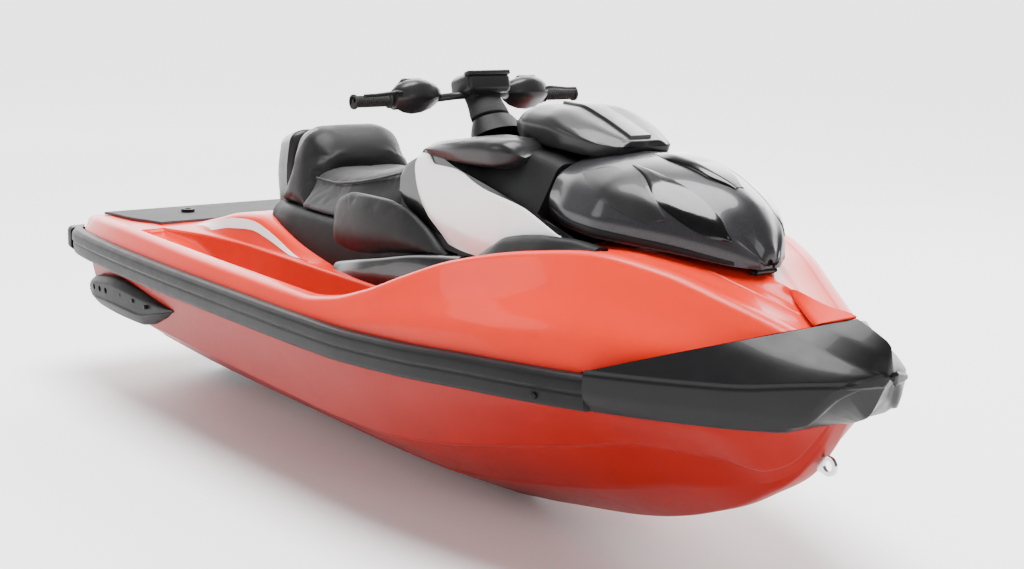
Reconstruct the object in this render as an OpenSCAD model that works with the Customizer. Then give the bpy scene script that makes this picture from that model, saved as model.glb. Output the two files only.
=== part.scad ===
// Sit-down racing personal watercraft: stepped vee hull, deck with footwells,
// saddle, hinged hood, tilted steering and a steered, trimmed water-jet drive.
// X runs to the bow, Y to port, Z up. The origin is amidships on the waterline.

/* [Overall] */
// Length over the rubbing strakes
length_all = 3312; // [2900:1:3800]
// Beam over the rubbing strakes
beam_all = 1254; // [1050:1:1500]
// Depth of the keel below the waterline
draft = 285; // [240:1:340]

/* [Hull and deck] */
// Thickness of the side rubbing strake
bumper_t = 40; // [28:1:50]
// Height of the side rubbing strake
bumper_h = 76; // [60:1:90]
// Height of the footwell floor above the waterline
floor_z = 120; // [90:1:150]
// Thickness of the foam traction mats
mat_t = 8; // [4:1:12]
// Thickness of the moulded covers and side panels
panel_t = 14; // [8:1:18]

/* [Jet drive] */
// Bore radius of the jet pump
pump_bore_r = 80; // [68:1:90]
// Wall of the jet pump housing
pump_wall = 12; // [8:1:16]
// Gap between the impeller blades and the bore
blade_gap = 5; // [5:0.5:8]
// Number of impeller blades
blades = 4; // [3:1:5]
// Radius of the drive shaft
shaft_r = 14; // [10:1:18]
// Height of the pump axis, below the waterline
pump_drop = 130; // [110:1:140]
// Outlet bore radius of the steering nozzle
nozzle_r = 42; // [34:1:50]
// Radius of the pivot pins of nozzle, trim ring and bucket
pivot_r = 8; // [6:0.5:10]

/* [Steering] */
// Width over the handlebar grips
bar_width = 792; // [700:1:860]
// Radius of the grips
grip_r = 17; // [15:0.5:20]
// Length of a grip
grip_l = 125; // [105:1:140]
// Radius of the handlebar tube
bar_r = 11; // [9:0.5:13]
// Lean of the steering column from upright
column_lean = 38; // [30:1:45]
// Radius of the steering column
column_r = 22; // [16:1:28]

/* [Fittings] */
// Hole radius of the bow eye and the stern tow eyes
eye_hole_r = 14; // [10:0.5:20]
// Rod radius of the tow eyes
eye_rod_r = 5; // [4:0.5:7]
// Socket radius of the rear accessory anchors
anchor_bore_r = 12; // [8:0.5:18]
// Distance between the accessory anchors
anchor_spacing = 420; // [300:1:560]

/* [Hidden] */

// The curves below are drawn on the nominal size and stretched to the set one
nominal_length = 3312;
nominal_beam = 1254;
nominal_draft = 285;
fx = length_all / nominal_length;
fy = beam_all / nominal_beam;
fz_low = draft / nominal_draft;
fit_gap = 0.3;
$fn = 48;

// Place of a nominal point at the set size
function at_size(p) = [p.x * fx, p.y * fy, p.z < 0 ? p.z * fz_low : p.z];

// Smooth curve through [x, value] pairs that never overshoots them
function rise(t, i) = (t[i + 1][1] - t[i][1]) / (t[i + 1][0] - t[i][0]);
function tangent(t, i) =
    let(last = len(t) - 1)
    i == 0 ? rise(t, 0) : i == last ? rise(t, last - 1) :
    rise(t, i - 1) * rise(t, i) <= 0 ? 0 :
    2 * rise(t, i - 1) * rise(t, i) / (rise(t, i - 1) + rise(t, i));
function piece_of(t, x, i = 0) =
    i >= len(t) - 2 || x < t[i + 1][0] ? i : piece_of(t, x, i + 1);
function along(t, x) =
    let(i = piece_of(t, x), h = t[i + 1][0] - t[i][0],
        s = min(1, max(0, (x - t[i][0]) / h)), q = s * s, c = q * s)
    (2 * c - 3 * q + 1) * t[i][1] + (c - 2 * q + s) * h * tangent(t, i)
    + (3 * q - 2 * c) * t[i + 1][1] + (c - q) * h * tangent(t, i + 1);

function steps(a, b, n) = [for (i = [0:n]) a + (b - a) * i / n];

// Port side as drawn, starboard side mirrored
module on_side(side) {
    if (side < 0) mirror([0, 1, 0]) children();
    else children();
}

// Closed solid through rings of points; each ring is seen whole from its first point.
// The second half of a ring is split the other way, so a symmetric ring stays symmetric
module skin(rings) {
    n = len(rings[0]);
    last = len(rings) - 1;
    points = [for (r = rings) for (p = r) at_size(p)];
    sides = [for (k = [0:last - 1]) for (i = [0:n - 1])
        let(a = k * n + i, b = k * n + (i + 1) % n, c = a + n, d = b + n)
        each i > (n - 1) / 2 ? [[a, b, c], [b, d, c]] : [[a, b, d], [a, d, c]]];
    first_cap = [for (i = [1:n - 2]) [0, i + 1, i]];
    last_cap = [for (i = [1:n - 2]) [last * n, last * n + i, last * n + i + 1]];
    polyhedron(points, concat(sides, first_cap, last_cap), convexity = 8);
}

// Ring that is symmetric about the centre plane: half lists [y, z] from top to keel
function both_sides(x, top, half) =
    concat([[x, 0, top]], [for (p = half) [x, p[0], p[1]]],
        [for (i = [len(half) - 1:-1:0]) [x, -half[i][0], half[i][1]]]);

// ---- Curves of hull and deck, on the nominal size
sheer_y = [[-1656, 530], [-1550, 580], [-1300, 606], [-1000, 620], [-600, 627],
    [-100, 627], [200, 621], [500, 598], [800, 546], [1000, 488], [1150, 425],
    [1300, 340], [1400, 272], [1500, 205], [1580, 142], [1630, 84], [1656, 22]];
sheer_z = [[-1656, 215], [200, 215], [500, 225], [800, 240], [1100, 246], [1656, 250]];
crest_y = [[-1656, 470], [-1500, 515], [-1200, 545], [-600, 565], [0, 566],
    [200, 556], [400, 528], [600, 478], [800, 405], [1000, 325], [1150, 260],
    [1300, 190], [1452, 122], [1550, 88], [1630, 45], [1656, 12]];
crest_z = [[-1656, 284], [-1500, 298], [-1200, 308], [-600, 302], [0, 298],
    [150, 318], [300, 362], [450, 424], [600, 482], [800, 530], [1000, 552],
    [1150, 530], [1300, 480], [1452, 424], [1550, 390], [1630, 362], [1656, 351]];
keel_z = [[-1480, -264], [-1358, -271], [-1112, -281], [-850, -285], [300, -285], [450, -270],
    [620, -243], [830, -207],
    [930, -184], [1042, -150], [1143, -110], [1236, -69], [1320, -18], [1382, 22],
    [1424, 57], [1468, 110], [1496, 152], [1530, 225]];
chine_y = [[-1480, 508], [-1000, 520], [0, 514], [300, 490], [500, 448], [700, 394],
    [900, 322], [1100, 226], [1250, 140], [1350, 92], [1420, 66], [1530, 40]];
keel_y = [[-1480, 34], [0, 30], [500, 14], [1100, 14], [1400, 34], [1530, 30]];
chine_z = [[-1480, 14], [-1000, 0], [0, -30], [300, -36], [500, -22], [700, 10],
    [900, 48], [1100, 86], [1250, 82], [1350, 66], [1420, 92], [1530, 226]];

transom_x = -1480;
stem_x = 1526;
hull_side_in = bumper_t + 2;
hull_rings = concat(steps(transom_x, 1300, 30), steps(1340, stem_x, 6));

function sheer(x) = along(sheer_y, x);
function bond(x) = along(sheer_z, x);
function hull_half(x) =
    let(w = max(14, sheer(x) - hull_side_in), zb = bond(x), k = along(keel_z, x),
        cy = min(along(chine_y, x), w - 2), cz = max(k + 2, along(chine_z, x)),
        my = max(cy * 0.52, along(keel_y, x) + 2), mz = k + (cz - k) * 0.46)
    [[w, zb], [w - (w - cy) * 0.25, zb - (zb - cz) * 0.35],
     [cy + (w - cy) * 0.30, cz + (zb - cz) * 0.28], [cy, cz],
     [cy - min(26, cy * 0.1), cz - min(8, (cz - k) * 0.05)],
     [my + min(12, my * 0.1), mz + min(2, (cz - k) * 0.01)], [my, mz - min(10, (cz - k) * 0.06)],
     [min(along(keel_y, x), cy * 0.5), k]];

// ---- Jet tunnel, water duct and engine bay
tunnel_x = -1180;
tunnel_w = 300;
tunnel_top = 75;
pump_z = -pump_drop;
duct_w = 150;
bay = [[-500, -225, -185], [360, 225, 400]];

module hull_solid() {
    skin([for (x = hull_rings) both_sides(x, bond(x), hull_half(x))]);
}

module duct() {
    // Rising duct from the bottom opening to the pump's front face
    translate([0, duct_w / 2, 0]) rotate([90, 0, 0]) linear_extrude(duct_w)
        polygon([[(tunnel_x - 1) * fx, pump_z + 70], [(tunnel_x - 1) * fx, pump_z - 70],
            [tunnel_x * fx + 60, pump_z - 90], [tunnel_x * fx + 90, -draft - 20],
            [tunnel_x * fx + 410, -draft - 20], [tunnel_x * fx + 120, pump_z + 70]]);
}

module box_between(a, b) {
    translate(a) cube(b - a);
}

module hull() {
    color("#c22a18") difference() {
        hull_solid();
        box_between([bay[0].x * fx, bay[0].y, bay[0].z], [bay[1].x * fx, bay[1].y, bay[1].z]);
        box_between([transom_x * fx - 10, -tunnel_w / 2, -draft - 20],
            [tunnel_x * fx, tunnel_w / 2, tunnel_top]);
        duct();
        well_liner(1, fit_gap);
        well_liner(-1, fit_gap);
        translate([tunnel_x * fx + 60, 0, pump_z]) rotate([0, 90, 0])
            cylinder(r = shaft_r + 8, h = (bay[0].x - tunnel_x) * fx);
    }
}

// ---- Deck; it shares the hull's stations, so their joint stays flat
deck_rings = concat(steps(-1656, -1540, 3), [for (x = hull_rings) if (x < stem_x) x]);
function flank_y(x) = max(8, sheer(x) - hull_side_in);
function deck_half(x) =
    let(w = flank_y(x), zb = bond(x), y = min(along(crest_y, x), w - 1), z = along(crest_z, x))
    [[y - 14, z + 2], [y, z - 4], [y + (w - y) * 0.38, z - (z - zb) * 0.30],
     [w - (w - y) * 0.12, zb + (z - zb) * 0.42], [w, zb + (z - zb) * 0.12], [w, zb + fit_gap]];
module deck_solid() {
    skin([for (x = deck_rings) both_sides(x, along(crest_z, x) + 3, deck_half(x))]);
}

// The black bow cap takes over below this sloping plane
cap_x = 1110;
cap_z = 300;
cap_slope = 0.37;
module cap_region(grow = 0) {
    far = 900;
    translate([0, 700, 0]) rotate([90, 0, 0]) linear_extrude(1400)
        polygon([[(cap_x - grow) * fx, -400], [(cap_x - grow) * fx, cap_z + grow * cap_slope],
            [(cap_x + far) * fx, cap_z + (far + grow) * cap_slope], [(cap_x + far) * fx, -400]]);
}

well_aft = -1150;
well_fore = 420;
well_t = 10;
function well_in(x) = along([[-1150, 420], [-950, 350], [-700, 322], [0, 318], [420, 300]], x);
function well_out(x) = min(along(crest_y, x) - 46, 500);
function well_floor(x) = along([[-1150, 292], [-1050, 262], [-820, 152], [-700, floor_z],
    [300, floor_z], [420, floor_z + 60]], x);
module footwell(side) {
    on_side(side) skin([for (x = steps(well_aft, well_fore, 14))
        let(a = well_in(x), b = well_out(x), z = well_floor(x))
        [for (p = [[b + 30, 700], [b - 4, z + 34], [b - 34, z], [a + 26, z], [a, z + 26], [a - 6, 700]])
            [x, p[0], p[1]]]]);
}
// Part of the deck moulding that hangs into the hull round a footwell
module well_liner(side, grow = 0) {
    on_side(side) skin([for (x = steps(-920 - grow, well_fore + well_t + grow, 12))
        let(g = well_t + grow, a = well_in(x) - g, b = well_out(x) + g, top = bond(x) + 1 + grow,
            z = min(well_floor(x) - g, top - 8))
        [for (p = [[b, top], [b, min(z + 30, top - 4)], [b - 34, z], [a + 26, z],
            [a, min(z + 26, top - 4)], [a, top]])
            [x, p[0], p[1]]]]);
}

// Raised seat pedestal on the after deck
function pedestal_top(x) = along([[-1200, 310], [-1000, 358], [-880, 388], [-760, 398], [-660, 382],
    [-500, 344], [-300, 312], [-240, 308]], x);
module pedestal() {
    skin([for (x = steps(-1200, -240, 16))
        let(t = pedestal_top(x), w = along([[-1200, 300], [-1000, 318], [-700, 300], [-240, 290]], x))
        both_sides(x, t, [[w - 34, t - 1], [w - 12, t - 10], [w + 10, 296], [w + 10, 280]])]);
}

// Top of the deck, moved up, cuts the seat of each piece that stands on it
module deck_top() {
    translate([0, 0, fit_gap]) {
        deck_solid();
        pedestal();
    }
}

tub = [[700, -180, 300], [1100, 180, 640]];
module deck() {
    color("#e8432a") difference() {
        union() {
            deck_solid();
            pedestal();
            well_liner(1);
            well_liner(-1);
        }
        footwell(1);
        footwell(-1);
        box_between([bay[0].x * fx, bay[0].y, 0], [bay[1].x * fx, bay[1].y, 700]);
        box_between([tub[0].x * fx, tub[0].y, tub[0].z], [tub[1].x * fx, tub[1].y, tub[1].z]);
        cap_region(2);
    }
}

// ---- Rubbing strakes
function strake_ring(x, up, down) =
    let(w = sheer(x), z = bond(x), in = w - hull_side_in + fit_gap)
    [for (p = [[in, z + up], [w - 10, z + up], [w - 1, z + up - 12], [w, z + 4],
        [w - 3, z - 8], [w - 8, z - down + 8], [w - 14, z - down], [in, z - down]])
        [x, p[0], p[1]]];
module side_bumper(side) {
    ends = cap_x - 2;
    color("#2a2b2d") on_side(side)
        skin([for (x = concat([for (x = deck_rings) if (x < ends) x], [ends]))
            strake_ring(x, bumper_h / 2, bumper_h / 2)]);
}
module side_bumper_right() side_bumper(-1);
module side_bumper_left() side_bumper(1);

module bow_lip(side) {
    // Chamfered lower lip of the bow cap, outside the hull
    on_side(side) skin([for (x = concat([cap_x + 1], steps(1140, 1545, 12)))
        let(w = sheer(x), z = bond(x))
        [for (p = [[w - bumper_t + 1, z + 12], [w - 2, z + 12], [w - 12, z - 30], [w - 28, z - 52],
            [w - bumper_t + 1, z - 52]]) [x, p[0], p[1]]]]);
}
module bow_bumper() {
    color("#2a2b2d") {
        intersection() {
            skin([for (x = concat([cap_x - 4], steps(1130, 1656, 18)))
                let(w = max(14, sheer(x)), zb = bond(x), y = min(along(crest_y, x), w - 4),
                    z = along(crest_z, x))
                both_sides(x, z + 3, [[y, z], [w - (w - y) * 0.4, z - (z - zb) * 0.35], [w, zb + 62],
                    [w, zb], [w * 0.6, zb]])]);
            cap_region(0);
        }
        skin([for (x = concat([stem_x + 1], steps(1560, 1653, 6)))
            let(w = sheer(x) - 3, zb = bond(x), lo = along([[1527, 198], [1600, 226], [1656, 292]], x))
            both_sides(x, zb + 14, [[w, zb + 10], [w * 0.9, lo + 14], [w * 0.5, lo]])]);
        bow_lip(1);
        bow_lip(-1);
    }
}

// ---- Sponsons
sponson_in = 500;
sponson_hole_r = 11;
module sponson(side) {
    color("#2f3133") on_side(side) difference() {
        skin([for (x = concat([-1460, -1400, -1365], steps(-1300, -810, 6)))
            let(out = along([[-1460, 562], [-1365, 584], [-1205, 590], [-900, 574], [-810, 560]], x),
                hi = along([[-1460, 78], [-1365, 122], [-1205, 144], [-874, 110], [-810, 104]], x),
                lo = along([[-1460, 60], [-1399, 24], [-1041, 14], [-912, 52], [-810, 92]], x))
            [for (p = [[sponson_in, hi], [out - 22, hi], [out, hi - (hi - lo) * 0.22],
                [out - 6, lo + (hi - lo) * 0.35], [out - 30, lo], [sponson_in, lo]])
                [x, p[0], p[1]]]]);
        translate([0, fit_gap, 0]) hull_solid();
        for (k = [0:3])
            translate([(-1425 + 54 * k) * fx, 565 * fy, 82 + 2 * k]) rotate([-90, 0, 0])
                cylinder(r = sponson_hole_r, h = 60);
    }
}
module sponson_right() sponson(-1);
module sponson_left() sponson(1);

// ---- Mats
module footwell_mat(side) {
    color("#4a4d50") on_side(side) skin([for (x = steps(-660, 250, 6))
        let(a = well_in(x) + 32, b = well_out(x) - 40, z = floor_z + fit_gap)
        [for (p = [[a, z + mat_t], [b, z + mat_t], [b, z], [a, z]]) [x, p[0], p[1]]]]);
}
module footwell_mat_right() footwell_mat(-1);
module footwell_mat_left() footwell_mat(1);

module platform_mat() {
    color("#4a4d50") difference() {
        skin([for (x = steps(-1640, -1215, 6))
            let(w = along([[-1640, 420], [-1400, 440], [-1215, 400]], x), z = along(crest_z, x) + 3)
            both_sides(x, z + mat_t, [[w, z + mat_t - 0.2], [w, z - 8]])]);
        deck_top();
        for (s = [-1, 1])
            translate([anchor_x * fx, s * anchor_spacing / 2, 200])
                cylinder(r = anchor_bore_r + anchor_wall + 0.5, h = 300);
    }
}

// ---- Engine, a plain block on the bay floor
module engine_block() {
    color("#77797c") box_between([-430 * fx, -175, bay[0].z], [250 * fx, 175, 235]);
}

// ---- Seat
function base_low(x) = x < -240 ? pedestal_top(x) - 8 : max(along(crest_z, x), 305) - 6;
base_x0 = -740;
base_x1 = 310;
base_top = [[-760, 440], [-56, 440], [-20, 520], [0, 536], [300, 434], [330, 418]];
module seat_base_skin() {
    skin([for (x = concat(steps(base_x0, -80, 9), steps(-56, -8, 3), steps(30, base_x1, 6)))
        let(lo = base_low(x), t = along(base_top, x),
            w = along([[-760, 230], [-600, 264], [-300, 268], [0, 264], [330, 272]], x),
            y = along([[-760, 190], [-600, 225], [0, 216], [330, 250]], x))
        both_sides(x, t, [[y, t - 1], [w, (lo + t) / 2], [w, lo]])]);
}
module seat_base() {
    color("#26282b") difference() {
        seat_base_skin();
        deck_top();
        console_skin(fit_gap);
        box_between([bay[0].x * fx, bay[0].y, 0], [bay[1].x * fx, bay[1].y, bay[1].z]);
    }
}

seat_low = 440 + fit_gap;
seat_top = [[-620, 600], [-540, 578], [-440, 560], [-330, 566], [-220, 600], [-130, 636], [-60, 662]];
module seat_cushion() {
    color("#202225") skin([for (x = steps(-600, -60, 12))
        let(t = along(seat_top, x),
            w = along([[-620, 165], [-450, 176], [-300, 168], [-150, 128], [-60, 104]], x),
            b = along([[-620, 215], [-300, 215], [-60, 200]], x))
        both_sides(x, t, [[w * 0.55, t - 6], [w * 0.9, t - 26], [w + 8, t - 70],
            [b, seat_low], [b * 0.4, seat_low]])]);
}

module seat_bolster() {
    color("#5a5d61") skin([for (x = steps(-740, -604, 8))
        let(t = along([[-740, 640], [-690, 684], [-640, 692], [-604, 655]], x),
            w = along([[-740, 120], [-660, 150], [-604, 155]], x))
        both_sides(x, t, [[w * 0.7, t - 5], [w, t - 34], [w + 26, 520],
            [w + 34, seat_low], [w * 0.4, seat_low]])]);
}

module seat_cowl() {
    color("#303235") skin([for (x = steps(-930, -744, 8))
        let(t = along([[-930, 600], [-880, 640], [-744, 668]], x),
            lo = max(pedestal_top(x) + fit_gap, along([[-930, 520], [-885, 400], [-744, 380]], x)),
            w = along([[-930, 84], [-860, 130], [-744, 165]], x))
        both_sides(x, t, [[w * 0.8, t - 4], [w, t - 24], [w + 16, (t + lo) / 2], [w, lo + 6],
            [w * 0.5, lo]])]);
}

// ---- Console body between the seat and the hood
function console_low(x) = max(440, along(crest_z, x) + 3) + fit_gap;
function body_side(x) =
    let(b = along([[-40, 200], [200, 235], [400, 262], [600, 280], [800, 285], [950, 280]], x),
        t = along([[-40, 96], [200, 130], [400, 160], [600, 190], [950, 200]], x),
        z = along([[-40, 655], [60, 700], [250, 735], [400, 750], [600, 740], [700, 720], [950, 580]], x))
    [[t, z], [b, 560]];
module console_skin(grow = 0) {
    skin([for (x = steps(-40, 690, 14))
        let(top = body_side(x)[0], mid = body_side(x)[1], lo = console_low(x) - grow)
        both_sides(x, top[1] + 4 + grow, [[top[0] + grow, top[1] + grow],
            [mid[0] + grow, min(mid[1], top[1] - 60)], [mid[0] + 6 + grow, lo]])]);
}
bin = [[0, -66, 560], [70, 66, 900]];
lid_pin_r = 3;
lid_hinge = [-26, 0, 674];
lid_knuckle_w = 50;
module at_lid_hinge() {
    translate([lid_hinge.x * fx, 0, lid_hinge.z]) rotate([90, 0, 0]) children();
}
module console() {
    color("#2c2e31") {
        difference() {
            union() {
                console_skin();
                for (s = [-1, 1])
                    translate([lid_hinge.x * fx - 6, s * (lid_knuckle_w / 2 + 6) - 5, lid_hinge.z - 24])
                        cube([12, 10, 30]);
            }
            box_between([bin[0].x * fx, bin[0].y, bin[0].z], [bin[1].x * fx, bin[1].y, bin[1].z]);
            leaned() cylinder(r = column_r + fit_gap, h = 400, center = true);
            deck_top();
        }
        at_lid_hinge() cylinder(r = lid_pin_r, h = lid_knuckle_w + 16, center = true);
    }
}

panel_low = [[-30, 560], [0, 539], [300, 437], [360, 415], [900, 415]];
module side_panel(side) {
    color("#f0f0ee") on_side(side) difference() {
        skin([for (x = steps(-30, 900, 16))
            let(in = body_side(x)[1][0] - 12, lo = max(along(crest_z, x) - 12, along(panel_low, x)),
                hi = along([[-30, 604], [100, 640], [300, 640], [600, 640], [900, 590]], x),
                mid = max(500, lo + 12))
            [for (p = [[in, lo], [in - 4, mid], [in - 8, hi], [in + 18, hi], [in + 16 + panel_t, mid],
                [in + panel_t + 22, lo]]) [x, p[0], p[1]]]]);
        deck_top();
        console_skin(fit_gap);
        translate([0, 0, fit_gap]) seat_base_skin();
    }
}
module side_panel_right() side_panel(-1);
module side_panel_left() side_panel(1);

module knee_shroud(side) {
    color("#37393c") on_side(side) difference() {
        skin([for (x = steps(560, 980, 10))
            let(y = along([[560, 330], [800, 328], [980, 306]], x), z = along(crest_z, x) - 4,
                h = along([[560, 22], [700, 42], [980, 30]], x))
            [for (p = [[y, z], [y, z + h], [y + 18, z + h - 4], [y + 36, z]]) [x, p[0], p[1]]]]);
        deck_top();
        tray_outer(1);
    }
}
module knee_shroud_right() knee_shroud(-1);
module knee_shroud_left() knee_shroud(1);

module console_cover(side) {
    color("#4b4e52") on_side(side) difference() {
        skin([for (x = steps(20, 470, 12))
            let(t = along([[20, 694], [120, 735], [300, 752], [470, 740]], x),
                w = along([[20, 184], [150, 239], [350, 269], [470, 249]], x), lo = t - 80,
                in = max(w - 110, 97))
            [for (p = [[in, lo], [in, t + 4], [w - 30, t], [w, t - 22], [w - 2, lo + 14], [w - 14, lo]])
                [x, p[0], p[1]]]]);
        console_skin(fit_gap);
        leaned() cylinder(r = column_r + 6, h = 400, center = true);
    }
}
module console_cover_right() console_cover(-1);
module console_cover_left() console_cover(1);

module upper_fairing() {
    color("#3a3d40") difference() {
        skin([for (x = steps(390, 744, 12))
            let(t = along([[390, 846], [460, 856], [560, 846], [680, 808], [744, 776]], x),
                w = along([[390, 118], [470, 150], [600, 158], [690, 136], [744, 100]], x),
                lo = along([[390, 764], [620, 758], [690, 740], [744, 730]], x))
            both_sides(x, t, [[w * 0.6, t - 4], [w * 0.92, t - 22], [w, min(t - 26, lo + 30)],
                [w * 0.9, lo]])]);
        translate([0, 0, fit_gap]) hood_outer();
        console_skin(fit_gap);
    }
}

// ---- Hood and its tray
function hood_w(x) = along([[700, 235], [800, 262], [900, 266], [1000, 235], [1100, 185], [1180, 132],
    [1230, 88], [1262, 44]], x);
function hood_top(x) = along([[700, 752], [800, 762], [900, 764], [1000, 756], [1100, 732], [1180, 694],
    [1230, 645], [1262, 590]], x);
function hood_low(x) = along([[700, 602], [800, 582], [960, 570], [1100, 558], [1262, 530]], x);
function hood_ridge(x) = along([[700, 0], [900, 6], [1100, 12], [1262, 4]], x);
function hood_half(x, in) =
    let(w = hood_w(x) - in, t = hood_top(x) - in, lo = hood_low(x), r = hood_ridge(x))
    [[w * 0.35, t - 4 - r], [w * 0.66, t - 26 - 2 * r], [w * 0.88, t - (t - lo) * 0.34 - r],
     [w, lo + (t - lo) * 0.26], [w - 6, lo]];
hood_x0 = 700;
hood_x1 = 1262;
hinge_pin_r = 5;
hinge_x = 1246;
hinge_z = 520;
knuckle_w = 60;
module at_hood_hinge() {
    translate([hinge_x * fx, 0, hinge_z]) rotate([90, 0, 0]) children();
}
module hood_outer() {
    skin([for (x = concat(steps(hood_x0, 1180, 12), steps(1205, hood_x1, 3)))
        both_sides(x, hood_top(x), hood_half(x, 0))]);
}
module hood() {
    color("#3b3e42") difference() {
        union() {
            hood_outer();
            translate([hinge_x * fx - 6, -knuckle_w / 2, hinge_z]) cube([12, knuckle_w, 40]);
            at_hood_hinge() cylinder(r = hinge_pin_r + 4, h = knuckle_w, center = true);
        }
        skin([for (x = steps(hood_x0 + 20, 1225, 12))
            let(h = hood_half(x, panel_t))
            both_sides(x, hood_top(x) - panel_t, concat(h, [[h[4][0], h[4][1] - 20]]))]);
        at_hood_hinge() cylinder(r = hinge_pin_r + 0.05, h = 200, center = true);
    }
}
module hood_insert() {
    color("#141517") difference() {
        skin([for (x = steps(860, 1150, 8))
            let(t = hood_top(x))
            both_sides(x, t + 6, [[50, t - 2], [50, t - 22]])]);
        translate([0, 0, fit_gap]) hood_outer();
    }
}
pocket = [[-20, -knuckle_w / 2 - 6, -16], [30, knuckle_w / 2 + 6, 60]];
function tray_w(x) = along([[900, 316], [1000, 298], [1150, 225], [1270, 140], [1330, 76], [1352, 30]], x);
function tray_top(x) = along([[900, 572], [1000, 572], [1150, 562], [1270, 530], [1352, 508]], x);
module tray_outer(grow = 0) {
    skin([for (x = steps(900, 1352, 14))
        let(w = tray_w(x) + grow, t = tray_top(x))
        both_sides(x, t, [[w - 6, t - 1], [w, t - 8], [w - 4, along(crest_z, x) - 4]])]);
}
module hood_tray() {
    color("#303235") {
        difference() {
            tray_outer();
            skin([for (x = concat(steps(890, 1210, 12), steps(1212, 1296, 5)))
                let(w = max(94, hood_w(min(x, hood_x1)) + 8),
                    lo = hood_low(min(x, hood_x1)) - (x > 1211 ? 16 : fit_gap))
                both_sides(x, 640, [[w, 640], [w, lo]])]);
            box_between([tub[0].x * fx, tub[0].y, tub[0].z], [tub[1].x * fx, tub[1].y, tub[1].z]);
            translate([hinge_x * fx, 0, hinge_z]) box_between(pocket[0], pocket[1]);
            deck_top();
        }
        at_hood_hinge() cylinder(r = hinge_pin_r, h = knuckle_w + 24, center = true);
    }
}

// ---- Glovebox lid over the console bin
module glovebox_lid() {
    color("#3a3c40") difference() {
        union() {
            skin([for (x = steps(-12, 82, 4))
                let(z = body_side(x)[0][1] - 4)
                both_sides(x, z + panel_t + 8, [[82, z + panel_t + 6], [90, z]])]);
            at_lid_hinge() cylinder(r = lid_pin_r + 4, h = lid_knuckle_w, center = true);
            translate([lid_hinge.x * fx, -lid_knuckle_w / 2, lid_hinge.z]) cube([30, lid_knuckle_w, 7]);
        }
        console_skin(fit_gap);
        at_lid_hinge() cylinder(r = lid_pin_r + 0.05, h = 200, center = true);
    }
}

// ---- Steering; drawn about its own axis and leaned back as one
steer_at = [150 * fx, 0, 752];
steer_up = 120;
bar_back = 62;
bar_rise = 30;
neck_r = column_r - 7;
collar_h = 48;
module leaned() {
    translate(steer_at) rotate([0, -column_lean, 0]) children();
}
module steering_column() {
    // Fixed sleeve that the steering shaft turns in
    color("#232427") leaned() difference() {
        translate([0, 0, -80]) cylinder(r = column_r, h = collar_h + 80);
        translate([0, 0, -81]) cylinder(r = neck_r + 0.05, h = collar_h + 82);
    }
}
module steering_neck() {
    color("#1f2022") leaned() {
        translate([0, 0, -70]) cylinder(r = neck_r, h = steer_up - bar_r + 50);
        translate([0, 0, collar_h + 5]) cylinder(r = column_r + 4, h = 10);
        difference() {
            translate([-24, -56, collar_h + 15]) cube([48, 112, steer_up - collar_h + 6]);
            translate([0, 0, steer_up]) rotate([90, 0, 0]) cylinder(r = bar_r + 0.02, h = 120, center = true);
            at_pod() translate([0, 0, -fit_gap]) pod_block();
        }
    }
}
module tube_between(a, b, r) {
    d = b - a;
    translate(a) rotate([0, acos(d.z / norm(d)), atan2(d.y, d.x)]) cylinder(r = r, h = norm(d));
}
elbow_y = 84;
bend_y = 134;
collar_l = 12;
grip_y = bar_width / 2;
module bend_collar(at, d) {
    // Short sleeve over the mitre of two tubes
    way = d / norm(d) * collar_l;
    tube_between(at - way, at + way, bar_r + 3);
}
module handlebar() {
    slope = [-bar_back, bend_y - elbow_y, bar_rise];
    color("#1c1d1f") leaned() {
        translate([0, 0, steer_up]) rotate([90, 0, 0]) cylinder(r = bar_r, h = 2 * elbow_y, center = true);
        for (s = [-1, 1]) {
            sloped = [slope.x, s * slope.y, slope.z];
            elbow = [0, s * elbow_y, steer_up];
            bend = elbow + sloped;
            tube_between(elbow, bend, bar_r);
            tube_between(bend, [bend.x, s * (grip_y - 8), bend.z], bar_r);
            bend_collar(elbow, sloped + [0, s * norm(sloped), 0]);
            bend_collar(bend, sloped + [0, s * norm(sloped), 0]);
        }
    }
}
module grip(s) {
    color("#151617") leaned()
        translate([-bar_back, s * grip_y, steer_up + bar_rise]) rotate([s * 90, 0, 0])
            difference() {
                union() {
                    cylinder(r = grip_r, h = grip_l);
                    translate([0, 0, 2]) cylinder(r = grip_r + 6, h = 7);
                    translate([0, 0, grip_l - 8]) cylinder(r = grip_r + 5, h = 6);
                }
                translate([0, 0, 7]) cylinder(r = bar_r + 0.02, h = grip_l);
            }
}
module grip_right() grip(-1);
module grip_left() grip(1);
control_w = 112;
module control(s) {
    // Switch and lever housing on the bar, inboard of the grip
    color("#242628") leaned()
        translate([-bar_back, s * (grip_y - grip_l - 4 - control_w / 2), steer_up + bar_rise]) difference() {
            translate([-22, -control_w / 2, -46]) cube([92, control_w, 84]);
            rotate([90, 0, 0]) cylinder(r = bar_r + 0.02, h = 300, center = true);
        }
}
module control_right() control(-1);
module control_left() control(1);
pod = [104, 160, 38];
pod_tilt = 22;
module at_pod() {
    translate([0, 0, steer_up + bar_r + 11]) rotate([0, pod_tilt, 0])
        translate([-44, -pod.y / 2, 0]) children();
}
module pod_block() {
    cube(pod);
}
module display_pod() {
    color("#2b2d30") leaned() at_pod() pod_block();
}

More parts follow.
